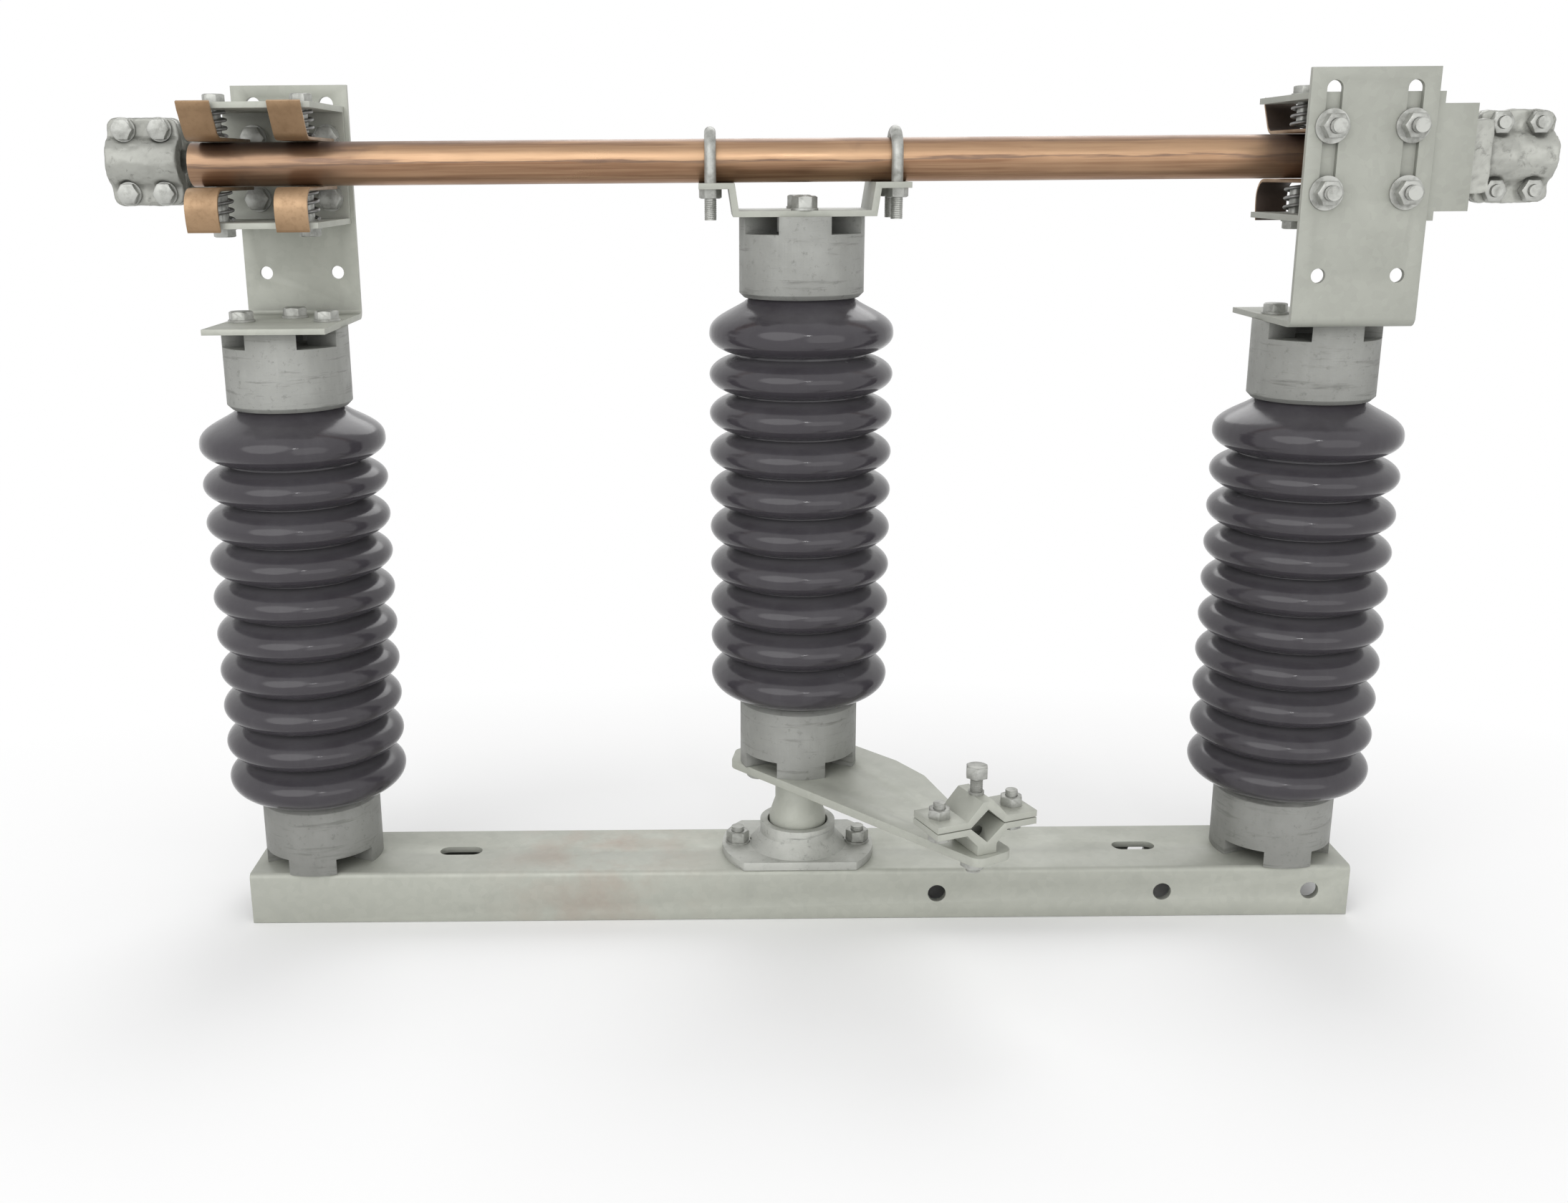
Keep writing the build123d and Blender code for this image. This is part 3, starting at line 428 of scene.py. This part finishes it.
def finger_copper(name, look):
    """Contact strip: tan at the lips, with painted shade where it looks down and on its back,
    darker near the tube.
    """
    made = Finish(name, Metallic=0.55)
    haze = made.ramp(made.noise(45.0, 4.0, 0.55), 0.4, 0.72)
    grain = made.ramp(made.noise(260.0, 4.0, 0.65), 0.5, 0.68)
    # Painted shade on what looks down
    down = made.ramp(made.facing("Z"), 0.05, -0.40)
    # Darker near the tube
    inside = made.ramp(made.magnitude(made.along("Y")), 0.050, 0.034)
    # Painted shade on the backs of the fingers
    back = made.ramp(made.times(made.along("X"), made.facing("Y")), -0.02, -0.14)
    base = made.coat(look.finger, haze, 0.40, look.finger_brown_and_shade)
    base = made.coat(base, down, 0.62, look.finger_brown_and_shade)
    base = made.coat(base, inside, 0.45, look.finger_brown_and_shade)
    base = made.coat(base, grain, 0.25, look.finger_brown_and_shade)
    base = made.coat(base, back, 0.92, look.finger_back_shade)
    made.bump(made.noise(300.0, 3.0), 0.0001, 0.6)
    return made.done(base, made.ramp(haze, 0.0, 1.0, 0.42, 0.6))


def rough_aluminium(name, bright, dark):
    """Sand-cast aluminium: bright crests, dark pits, painted shade in its creases and corners,
    darker towards the left.
    """
    made = Finish(name, Metallic=0.4)
    clouds = made.ramp(made.noise(34.0, 5.0, 0.65), 0.36, 0.7)
    pits = made.ramp(made.noise(95.0, 5.0, 0.7, distortion=0.5), 0.56, 0.70)
    # Painted shade in the creases and corners
    painted_crease_shade = made.node("ShaderNodeNewGeometry").outputs["Pointiness"]
    base = made.coat(bright, clouds, 0.30, dark)
    base = made.coat(base, pits, 0.55, dark)
    base = made.coat(base, made.ramp(painted_crease_shade, 0.50, 0.44), 0.85, dark)
    base = made.coat(base, made.corners(0.012), 0.55, dark)
    # Darker towards the left end
    base = made.mix(made.ramp(made.along("X"), -0.5, 0.5, 0.20, 0.0), base, dark)
    made.bump(made.noise(260.0, 4.0, 0.6), 0.0002, 0.6)
    made.bump(made.noise(70.0, 4.0, 0.6), 0.0008, 0.5)
    return made.done(base, made.ramp(pits, 0.0, 1.0, 0.42, 0.65))


def plated_steel(name, bright, dark, grimy=0.6):
    """Plated bolts, nuts and springs with grime, and painted shade in their creases and on their
    tops.
    """
    made = Finish(name, Metallic=0.6)
    grime = made.ramp(made.noise(90.0, 5.0, 0.65), 0.45, 0.72)
    painted_crease_shade = made.node("ShaderNodeNewGeometry").outputs["Pointiness"]
    base = made.mix(made.times(grime, grimy), bright, dark)
    # Painted shade in the creases
    base = made.coat(base, made.ramp(painted_crease_shade, 0.50, 0.42), 0.7, dark)
    # Painted shade on what faces up
    base = made.mix(made.ramp(made.facing("Z"), 0.5, 1.0, 0.0, 0.40), base, dark)
    made.bump(made.noise(420.0, 3.0), 0.00006, 0.6)
    return made.done(base, made.ramp(grime, 0.0, 1.0, 0.42, 0.6))


def finishes():
    """All materials, one for each slot of the record."""
    look = bpy.context.scene.switch_finish
    return {
        "galvanised_steel": zinc_plate("galvanised_plate", look.zinc, look.zinc_stain_and_shade, look.rust),
        "cap_iron": zinc_casting("cap_casting", look.casting, look.casting_dark),
        "pedestal_iron": zinc_casting("pedestal_casting", look.bearing, look.casting_dark),
        "porcelain": brown_glaze("brown_glaze", look.glaze, look.dust, look.valley_painted_light),
        "tube_copper": weathered_copper("tube_copper", look),
        "finger_copper": finger_copper("finger_copper", look),
        "cast_aluminium": rough_aluminium("cast_aluminium", look.aluminium, look.aluminium_pits_and_shade),
        "bolt_steel": plated_steel("plated_bolts", look.steel, look.steel_grime_and_shade),
        "spring_steel": plated_steel("spring_wire", look.spring, look.steel_grime_and_shade, 0.75),
    }


# The materials by slot, filled by the first operator
MADE = {}


# ----------------------------------------------------------------- mesh helpers
def clear_selection():
    """Leave edit mode and deselect everything."""
    if bpy.context.object and bpy.context.object.mode != "OBJECT":
        bpy.ops.object.mode_set(mode="OBJECT")
    bpy.ops.object.select_all(action="DESELECT")


def activate(piece):
    """Select one piece alone and make it the active one."""
    clear_selection()
    piece.select_set(True)
    bpy.context.view_layer.objects.active = piece


def corners_of(node):
    """The lowest and the highest corner of a node's box."""
    return tuple(Vector(corner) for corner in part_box(node))


def islands(node):
    """The boxes of a node's separate solids, as (lowest corner, highest corner)."""
    mesh = frame["nodes"][node].data
    welded = {}
    weld = [welded.setdefault(tuple(round(c * 2e4) for c in v.co), len(welded))
            for v in mesh.vertices]
    parent = list(range(len(welded)))

    def root(i):
        while parent[i] != i:
            parent[i] = parent[parent[i]]
            i = parent[i]
        return i

    for edge in mesh.edges:
        parent[root(weld[edge.vertices[0]])] = root(weld[edge.vertices[1]])
    boxes = {}
    for vertex, welded_to in zip(mesh.vertices, weld):
        low, high = boxes.setdefault(root(welded_to), ([math.inf] * 3, [-math.inf] * 3))
        for axis in range(3):
            low[axis] = min(low[axis], vertex.co[axis])
            high[axis] = max(high[axis], vertex.co[axis])
    return [(Vector(low), Vector(high)) for low, high in boxes.values()]


def body_of(node):
    return frame["nodes"][node]["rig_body"]


def slot_of(node):
    for part in frame["record"]["subparts"]:
        if part["node"] == node:
            return part["material_slot"]
    raise RuntimeError("no slot for " + node)


def modify(piece, kind, **settings):
    """Add a modifier, set it and apply it."""
    activate(piece)
    modifier = piece.modifiers.new(kind.lower(), kind)
    for key, value in settings.items():
        setattr(modifier, key, value)
    bpy.ops.object.modifier_apply(modifier=modifier.name)


def settle(piece, name, body, slot, nodes=(), angle=35.0):
    """Name the piece, apply its place, give it its finish and let it ride."""
    activate(piece)
    bpy.ops.object.transform_apply(location=True, rotation=True, scale=True)
    bpy.ops.object.shade_smooth_by_angle(angle=math.radians(angle))
    piece.name = name
    piece.data.name = name
    piece.data.materials.clear()
    piece.data.materials.append(MADE[slot])
    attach(piece, body)
    if nodes:
        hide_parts(*nodes)
    return piece


def copy_of(node, name):
    """A merged copy of a node's mesh, ready to be shaped."""
    mesh = frame["nodes"][node].data.copy()
    piece = bpy.data.objects.new(name, mesh)
    bpy.context.scene.collection.objects.link(piece)
    activate(piece)
    bpy.ops.mesh.customdata_custom_splitnormals_clear()
    bpy.ops.object.mode_set(mode="EDIT")
    bpy.ops.mesh.select_all(action="SELECT")
    bpy.ops.mesh.remove_doubles(threshold=COPY_WELD)
    bpy.ops.object.mode_set(mode="OBJECT")
    return piece


def eased(node, edge, segments=2, limit=32.0):
    """A copy of a node with its sharp edges rounded, standing for the node."""
    name = node + "_eased"
    piece = copy_of(node, name)
    bpy.ops.object.mode_set(mode="EDIT")
    bpy.ops.mesh.select_all(action="SELECT")
    bpy.ops.mesh.dissolve_limited(angle_limit=math.radians(0.4))
    bpy.ops.object.mode_set(mode="OBJECT")
    modify(piece, "BEVEL", width=edge, segments=segments, limit_method="ANGLE",
           angle_limit=math.radians(limit), harden_normals=False, use_clamp_overlap=True)
    return settle(piece, name, body_of(node), slot_of(node), (node,), limit)


def joined(pieces):
    """Several pieces made one."""
    clear_selection()
    for piece in pieces:
        piece.select_set(True)
    bpy.context.view_layer.objects.active = pieces[0]
    if len(pieces) > 1:
        bpy.ops.object.join()
    return bpy.context.object


def profile(points, closed=True):
    """An outline in the XZ plane: a flat ring with its corners moved, open or closed.

    The ring's edges run backwards, so its corners are taken in reverse.
    """
    clear_selection()
    bpy.ops.mesh.primitive_circle_add(vertices=len(points), fill_type="NOTHING", calc_uvs=False)
    piece = bpy.context.object
    for vertex, (x, z) in zip(piece.data.vertices, reversed(points)):
        vertex.co = (x, 0.0, z)
    if not closed:
        ends = {0, len(points) - 1}
        bpy.ops.object.mode_set(mode="EDIT")
        bpy.ops.mesh.select_all(action="DESELECT")
        bpy.ops.object.mode_set(mode="OBJECT")
        for edge in piece.data.edges:
            edge.select = set(edge.vertices) == ends
        bpy.ops.object.mode_set(mode="EDIT")
        bpy.ops.mesh.select_mode(type="EDGE")
        bpy.ops.mesh.delete(type="EDGE_FACE")
        bpy.ops.mesh.select_mode(type="VERT")
        bpy.ops.object.mode_set(mode="OBJECT")
    return piece


def helix(points, pitch, turns, steps=20):
    """A closed outline wound up the Z axis, with its two ends filled."""
    piece = profile(points)
    modify(piece, "SCREW", axis="Z", screw_offset=pitch, iterations=turns, steps=steps,
           render_steps=steps, use_normal_calculate=False)
    activate(piece)
    bpy.ops.object.mode_set(mode="EDIT")
    bpy.ops.mesh.select_all(action="SELECT")
    bpy.ops.mesh.remove_doubles(threshold=TURNED_WELD)
    bpy.ops.mesh.fill_holes(sides=0)
    bpy.ops.mesh.select_all(action="SELECT")
    bpy.ops.mesh.normals_make_consistent(inside=False)
    bpy.ops.object.mode_set(mode="OBJECT")
    return piece


def circle_points(x, radius, count=8):
    """The corners of a small circle that stands x away from the axis."""
    angles = [2 * math.pi * i / count for i in range(count)]
    return [(x + radius * math.cos(angle), radius * math.sin(angle)) for angle in angles]


def shed_rims(node):
    """The heights of a porcelain's rims, its axis and its largest radius."""
    low, high = corners_of(node)
    axis = (low + high) / 2
    radius = (high.x - low.x) / 2
    rims = []
    for vertex in frame["nodes"][node].data.vertices:
        if math.hypot(vertex.co.x - axis.x, vertex.co.y - axis.y) > radius - 1e-4:
            rims.append(vertex.co.z)
    groups = []
    for z in sorted(rims):
        if groups and z - groups[-1][-1] < radius / 4:
            groups[-1].append(z)
        else:
            groups.append([z])
    return [(group[0] + group[-1]) / 2 for group in groups], axis, radius


def shed_outline(node, valley, neck, rows=12):
    """Half an outline of full, round-nosed sheds with narrow valleys between them."""
    rims, axis, radius = shed_rims(node)
    low, high = corners_of(node)
    half = (rims[-1] - rims[0]) / (len(rims) - 1) / 2
    first, last = low.z + neck.y, high.z - neck.y
    steps = [step / rows * FLANK_END for step in range(1, rows + 1)]

    def nose(t):
        return valley + (radius - valley) * (1 - t * t) ** NOSE_POWER

    def lowest(t):
        return neck.x + (radius - neck.x) * (1 - t * t) ** 0.5

    def highest(t):
        return neck.x + (radius - neck.x) * (0.5 + 0.5 * math.cos(math.pi * t ** FLANK_POWER))

    points = [(0.0, low.z), (neck.x, low.z), (neck.x, first)]
    for number, rim in enumerate(rims):
        under, fall = (nose, half) if number else (lowest, rim - first)
        over, rise = (nose, half) if number < len(rims) - 1 else (highest, last - rim)
        points += [(under(t), rim - t * fall) for t in reversed(steps)]
        points.append((radius, rim))
        points += [(over(t), rim + t * rise) for t in steps]
    points += [(neck.x, last), (neck.x, high.z), (0.0, high.z)]
    return points, axis


def turned(points, axis, steps=96):
    """An outline turned round a standing axis."""
    piece = profile(points, closed=False)
    modify(piece, "SCREW", axis="Z", steps=steps, render_steps=steps, use_merge_vertices=True,
           merge_threshold=TURNED_WELD, use_normal_calculate=False)
    activate(piece)
    bpy.ops.object.mode_set(mode="EDIT")
    bpy.ops.mesh.select_all(action="SELECT")
    bpy.ops.mesh.remove_doubles(threshold=TURNED_WELD)
    bpy.ops.mesh.normals_make_consistent(inside=False)
    bpy.ops.object.mode_set(mode="OBJECT")
    piece.location = (axis.x, axis.y, 0.0)
    return piece


def coil_spring(low, high, wire, pitch):
    """A spring that fills a box's height, its turns evenly spaced."""
    radius = (high.x - low.x) / 2 - wire
    turns = max(3, round((high.z - low.z - 2 * wire) / pitch))
    rise = (high.z - low.z - 2 * wire) / turns
    piece = helix(circle_points(radius, wire), rise, turns)
    piece.location = ((low.x + high.x) / 2, (low.y + high.y) / 2, low.z + wire)
    return piece


def thread(start, direction, radius, reach, sizes):
    """Thread ridges round a shank, from start along direction."""
    pitch = sizes.thread_pitch
    crest = radius + sizes.thread_proud
    root = radius - sizes.thread_proud
    turns = max(1, int(reach / pitch) - 1)
    foot = pitch * RIDGE
    piece = helix([(root, 0.0), (root, foot), (crest, foot / 2)], pitch, turns, 16)
    piece.rotation_mode = "QUATERNION"
    piece.rotation_quaternion = Vector(direction).to_track_quat("Z", "Y")
    piece.location = start
    activate(piece)
    bpy.ops.object.transform_apply(location=True, rotation=True, scale=True)
    return piece


def on_axis(low, high, height):
    """The point at a height on a standing bolt's axis."""
    return Vector(((low.x + high.x) / 2, (low.y + high.y) / 2, height))


def free_ends(node, axis, end, radius, reach, sizes):
    """Thread ridges on the free ends of a node's bolts that lie along one axis."""
    made = []
    for low, high in islands(node):
        # A solid too short for a shank and its free end is a nut or a washer
        if high[axis] - low[axis] < 2.4 * sizes.thick_shank + reach:
            continue
        start = (low + high) / 2
        start[axis] = (high if end > 0 else low)[axis] - end * sizes.thread_proud
        direction = [0.0, 0.0, 0.0]
        direction[axis] = -end
        made.append(thread(start, direction, radius, reach, sizes))
    return made


# -------------------------------------------------------------------- operators
class SWITCH_OT_finishes(Operator):
    """Make the materials and give every CAD node the one of its slot"""

    bl_idname = "switch.finishes"
    bl_label = "Finishes"

    def execute(self, context):
        MADE.update(finishes())
        for name, node in frame["nodes"].items():
            for slot in node.material_slots:
                slot.material = MADE[slot_of(name)]
        return {"FINISHED"}


class SWITCH_OT_plates(Operator):
    """Ease the edges of the channel, brackets, housings, lever and saddle"""

    bl_idname = "switch.plates"
    bl_label = "Plates"

    def execute(self, context):
        edge = context.scene.switch_sizes.plate_edge
        eased("base_channel", context.scene.switch_sizes.fold_edge)
        eased("lever_plate", edge)
        eased("tube_saddle", edge)
        for side in SIDES:
            eased(side + "_terminal_bracket", edge)
            eased(side + "_contact_housing", edge)
        return {"FINISHED"}


class SWITCH_OT_sheds(Operator):
    """Turn the glazed sheds of the three insulators"""

    bl_idname = "switch.sheds"
    bl_label = "Glazed sheds"

    def execute(self, context):
        sizes = context.scene.switch_sizes
        for column in COLUMNS:
            node = column + "_porcelain"
            points, axis = shed_outline(node, sizes.shed_valley, self.neck(node))
            settle(turned(points, axis), column + "_glazed_sheds", body_of(node), slot_of(node),
                   (node,), 60.0)
        return {"FINISHED"}

    def neck(self, node):
        """The plain neck's radius, and how far it reaches in from each end."""
        rims, axis, _ = shed_rims(node)
        low = corners_of(node)[0]
        # Below the first rim, past the middle of the end face
        below = [(math.hypot(v.co.x - axis.x, v.co.y - axis.y), v.co.z)
                 for v in frame["nodes"][node].data.vertices if v.co.z < rims[0] - 0.01]
        radius = min(reach for reach, _ in below if reach > 0.02)
        top = max(z for reach, z in below if reach < radius + 1e-4)
        return Vector((radius, top - low.z))


class SWITCH_OT_castings(Operator):
    """Round the edges of the insulator caps, the pedestal and the post"""

    bl_idname = "switch.castings"
    bl_label = "Castings"

    def execute(self, context):
        edge = context.scene.switch_sizes.casting_edge
        for column in COLUMNS:
            eased(column + "_top_cap", edge)
            eased(column + "_bottom_cap", edge)
        eased("bearing_pedestal", edge)
        eased("bearing_post", edge * 0.5)
        return {"FINISHED"}


class SWITCH_OT_fingers(Operator):
    """Round the edges of the contact fingers and wind their springs"""

    bl_idname = "switch.fingers"
    bl_label = "Fingers and springs"

    def execute(self, context):
        sizes = context.scene.switch_sizes
        for side in SIDES:
            eased(side + "_contact_fingers", sizes.plate_edge)
            node = side + "_contact_springs"
            coils = [coil_spring(low, high, sizes.spring_wire, sizes.spring_pitch)
                     for low, high in islands(node)]
            settle(joined(coils), side + "_coil_springs", body_of(node), slot_of(node),
                   (node,), 60.0)
        return {"FINISHED"}


class SWITCH_OT_connectors(Operator):
    """Give the line clamps their rough cast skin"""

    bl_idname = "switch.connectors"
    bl_label = "Line clamps"

    def execute(self, context):
        sizes = context.scene.switch_sizes
        lumps = bpy.data.textures.new("casting_lumps", "CLOUDS")
        lumps.noise_scale = sizes.lump_grain
        lumps.noise_depth = 3
        for side, rough in zip(SIDES, (1.0, 1.5)):
            for part in ("_connector_body", "_connector_keeper"):
                node = side + part
                piece = copy_of(node, node + "_cast")
                modify(piece, "REMESH", mode="VOXEL", voxel_size=sizes.voxel)
                modify(piece, "SMOOTH", factor=0.5, iterations=3)
                modify(piece, "DISPLACE", texture=lumps, texture_coords="LOCAL",
                       strength=sizes.lump * rough, mid_level=0.62)
                settle(piece, node + "_cast", body_of(node), slot_of(node), (node,), 70.0)
        return {"FINISHED"}


class SWITCH_OT_fasteners(Operator):
    """Ease the bolts and nuts, and cut the threads that show"""

    bl_idname = "switch.fasteners"
    bl_label = "Fasteners"

    def execute(self, context):
        sizes = context.scene.switch_sizes
        edge = sizes.bolt_edge
        names = ["base_bolts", "pedestal_bolts", "lever_bolts", "saddle_bolts", "u_bolt_nuts",
                 "clamp_bolts", "clamp_stud"]
        for side in SIDES:
            names += [side + part for part in ("_bracket_bolts", "_housing_bolts", "_spring_bolts",
                                               "_connector_bolts")]
        for name in names:
            eased(name, edge, segments=1)
        bends = copy_of("u_bolts", "u_bolts_smooth")
        settle(bends, "u_bolts_smooth", body_of("u_bolts"), slot_of("u_bolts"), ("u_bolts",), 60.0)
        self.threads(sizes)
        return {"FINISHED"}

    def wear(self, ridges, name, node):
        """Join thread ridges into one piece of the node's body."""
        settle(joined(ridges), name, body_of(node), slot_of(node))

    def threads(self, sizes):
        """Threads on the free ends of the housing, pedestal, U-, clamp bolts and the stud."""
        thick, thin, proud = sizes.thick_shank, sizes.thin_shank, sizes.thread_proud
        for side, end in (("left", 1), ("right", -1)):
            node = side + "_housing_bolts"
            ridges = free_ends(node, 1, end, thick, HOUSING_BOLT_END, sizes)
            self.wear(ridges, side + "_housing_threads", node)
        ridges = free_ends("pedestal_bolts", 2, 1, thick, PEDESTAL_BOLT_END, sizes)
        self.wear(ridges, "pedestal_threads", "pedestal_bolts")
        nuts = min(low.z for low, high in islands("u_bolt_nuts"))
        ridges = []
        for low, high in islands("u_bolts"):
            for y in (low.y + thin, high.y - thin):
                start = Vector(((low.x + high.x) / 2, y, low.z + proud))
                ridges.append(thread(start, (0, 0, 1), thin, nuts - low.z, sizes))
        self.wear(ridges, "u_bolt_threads", "u_bolts")
        *flange, tall = sorted(islands("clamp_bolts"), key=lambda pair: pair[1].z)
        low, high = tall
        ridges = [thread(on_axis(low, high, low.z + proud), (0, 0, 1), thin,
                         high.z - SET_BOLT_HEAD - low.z, sizes)]
        for low, high in flange:
            ridges.append(thread(on_axis(low, high, high.z - proud), (0, 0, -1), thin,
                                 FLANGE_BOLT_END, sizes))
        self.wear(ridges, "clamp_bolt_threads", "clamp_bolts")
        low, high = islands("clamp_stud")[0]
        ridges = [thread(on_axis(low, high, low.z + proud), (0, 0, 1), thick, STUD_END, sizes)]
        self.wear(ridges, "stud_threads", "clamp_stud")


class SWITCH_OT_pipe_clamp(Operator):
    """Ease the two bent halves of the pipe clamp on the lever"""

    bl_idname = "switch.pipe_clamp"
    bl_label = "Pipe clamp"

    def execute(self, context):
        edge = context.scene.switch_sizes.plate_edge
        eased("clamp_upper", edge)
        eased("clamp_lower", edge)
        return {"FINISHED"}


class SWITCH_OT_stage(Operator):
    """Set the pale floor, the soft lamps, the sky and the camera"""

    bl_idname = "switch.stage"
    bl_label = "Stage"

    def execute(self, context):
        stage = context.scene.switch_stage
        clear_selection()
        bpy.ops.mesh.primitive_plane_add(size=40.0, location=(0.0, 6.0, -0.0005))
        floor = context.object
        floor.name = "pale_floor"
        bpy.ops.object.transform_apply(location=True, rotation=True, scale=True)
        floor.data.materials.append(self.paper(stage.floor))
        for lamp in LAMPS:
            self.lamp(*lamp)
        self.sky(context)
        self.camera(context, stage)
        context.scene.view_settings.view_transform = "Standard"
        return {"FINISHED"}

    def paper(self, shade):
        """A pale floor whose far part glows as white as the sky, for the eye only."""
        made = Finish("pale_floor", Roughness=0.9)
        made.surface.inputs["Specular IOR Level"].default_value = 0.1
        tone = made.ramp(made.noise(2.0, 2.0), 0.3, 0.7, 0.99, 1.01)
        base = made.node("ShaderNodeHueSaturation", Color=(*shade, 1.0), Value=tone)
        made.done(base.outputs["Color"])
        away = made.node("ShaderNodeVectorMath", Vector=made.stretched((0.5, 1.0, 1.0)))
        away.operation = "LENGTH"
        far = made.ramp(away.outputs["Value"], *FLOOR_GLOW)
        factor = made.times(far, self.seen(made.tree))
        glow = made.node("ShaderNodeEmission", Color=(1.0, 1.0, 1.0), Strength=1.0)
        both = made.tree.nodes.new("ShaderNodeMixShader")
        made.feed(both.inputs[0], factor)
        made.tree.links.new(made.surface.outputs["BSDF"], both.inputs[1])
        made.tree.links.new(glow.outputs["Emission"], both.inputs[2])
        output = made.tree.nodes["Material Output"]
        made.tree.links.new(both.outputs["Shader"], output.inputs["Surface"])
        return made.material

    def seen(self, tree):
        """1 for rays from the eye, straight or by way of a shiny surface."""
        path = tree.nodes.new("ShaderNodeLightPath")
        most = path.outputs["Is Camera Ray"]
        for output in ("Is Glossy Ray", "Is Transmission Ray"):
            step = tree.nodes.new("ShaderNodeMath")
            step.operation = "MAXIMUM"
            tree.links.new(most, step.inputs[0])
            tree.links.new(path.outputs[output], step.inputs[1])
            most = step.outputs[0]
        return most

    def lamp(self, name, place, size, power):
        """A round area lamp that looks at the middle of the switch."""
        data = bpy.data.lights.new(name, "AREA")
        data.shape = "DISK"
        data.size = size
        data.energy = power
        lamp = bpy.data.objects.new(name, data)
        bpy.context.scene.collection.objects.link(lamp)
        lamp.location = place
        aim = Vector(LAMP_AIM) - Vector(place)
        lamp.rotation_euler = aim.to_track_quat("-Z", "Y").to_euler()

    def sky(self, context):
        """An even sky, dimmer as a light than it looks."""
        world = bpy.data.worlds.new("soft_sky")
        world.use_nodes = True
        context.scene.world = world
        tree = world.node_tree
        tree.nodes.clear()
        strength = tree.nodes.new("ShaderNodeMapRange")
        strength.inputs["To Min"].default_value = SKY_LIGHT
        strength.inputs["To Max"].default_value = SKY_SEEN
        tree.links.new(self.seen(tree), strength.inputs["Value"])
        background = tree.nodes.new("ShaderNodeBackground")
        tree.links.new(strength.outputs["Result"], background.inputs["Strength"])
        background.inputs["Color"].default_value = (1.0, 1.0, 1.0, 1.0)
        output = tree.nodes.new("ShaderNodeOutputWorld")
        tree.links.new(background.outputs["Background"], output.inputs["Surface"])

    def camera(self, context, stage):
        """The camera, aimed by its tilt, turn and roll."""
        data = bpy.data.cameras.new("camera")
        data.sensor_width = 36.0
        data.lens = stage.lens
        data.shift_x = stage.shift_x
        data.shift_y = stage.shift_y
        camera = bpy.data.objects.new("camera", data)
        context.scene.collection.objects.link(camera)
        look = Euler((math.pi / 2 - stage.tilt, 0.0, -stage.turn)).to_matrix()
        camera.matrix_world = (Matrix.Translation(stage.eye)
                               @ (look @ Matrix.Rotation(-stage.roll, 3, "Z")).to_4x4())
        context.scene.camera = camera


OPERATORS = (SWITCH_OT_finishes, SWITCH_OT_plates, SWITCH_OT_sheds, SWITCH_OT_castings,
             SWITCH_OT_fingers, SWITCH_OT_connectors, SWITCH_OT_fasteners, SWITCH_OT_pipe_clamp,
             SWITCH_OT_stage)


class SWITCH_PT_panel(Panel):
    """Lists the steps and their settings"""

    bl_idname = "SWITCH_PT_panel"
    bl_label = "Disconnect Switch"
    bl_space_type = "VIEW_3D"
    bl_region_type = "UI"
    bl_category = "Switch"

    def draw(self, context):
        for kind in OPERATORS:
            self.layout.operator(kind.bl_idname)
        scene = context.scene
        for group in (scene.switch_finish, scene.switch_sizes, scene.switch_stage):
            box = self.layout.box()
            for key in group.__annotations__:
                box.prop(group, key)


CLASSES = (SwitchFinish, SwitchSizes, SwitchStage, *OPERATORS, SWITCH_PT_panel)


def register():
    for kind in CLASSES:
        bpy.utils.register_class(kind)
    bpy.types.Scene.switch_finish = PointerProperty(type=SwitchFinish)
    bpy.types.Scene.switch_sizes = PointerProperty(type=SwitchSizes)
    bpy.types.Scene.switch_stage = PointerProperty(type=SwitchStage)


def unregister():
    del bpy.types.Scene.switch_stage
    del bpy.types.Scene.switch_sizes
    del bpy.types.Scene.switch_finish
    for kind in reversed(CLASSES):
        bpy.utils.unregister_class(kind)


def main():
    """Register the classes and run the operators in order."""
    register()
    bpy.ops.switch.finishes()
    bpy.ops.switch.plates()
    bpy.ops.switch.sheds()
    bpy.ops.switch.castings()
    bpy.ops.switch.fingers()
    bpy.ops.switch.connectors()
    bpy.ops.switch.fasteners()
    bpy.ops.switch.pipe_clamp()
    bpy.ops.switch.stage()
    clear_selection()


if __name__ == "__main__":
    main()
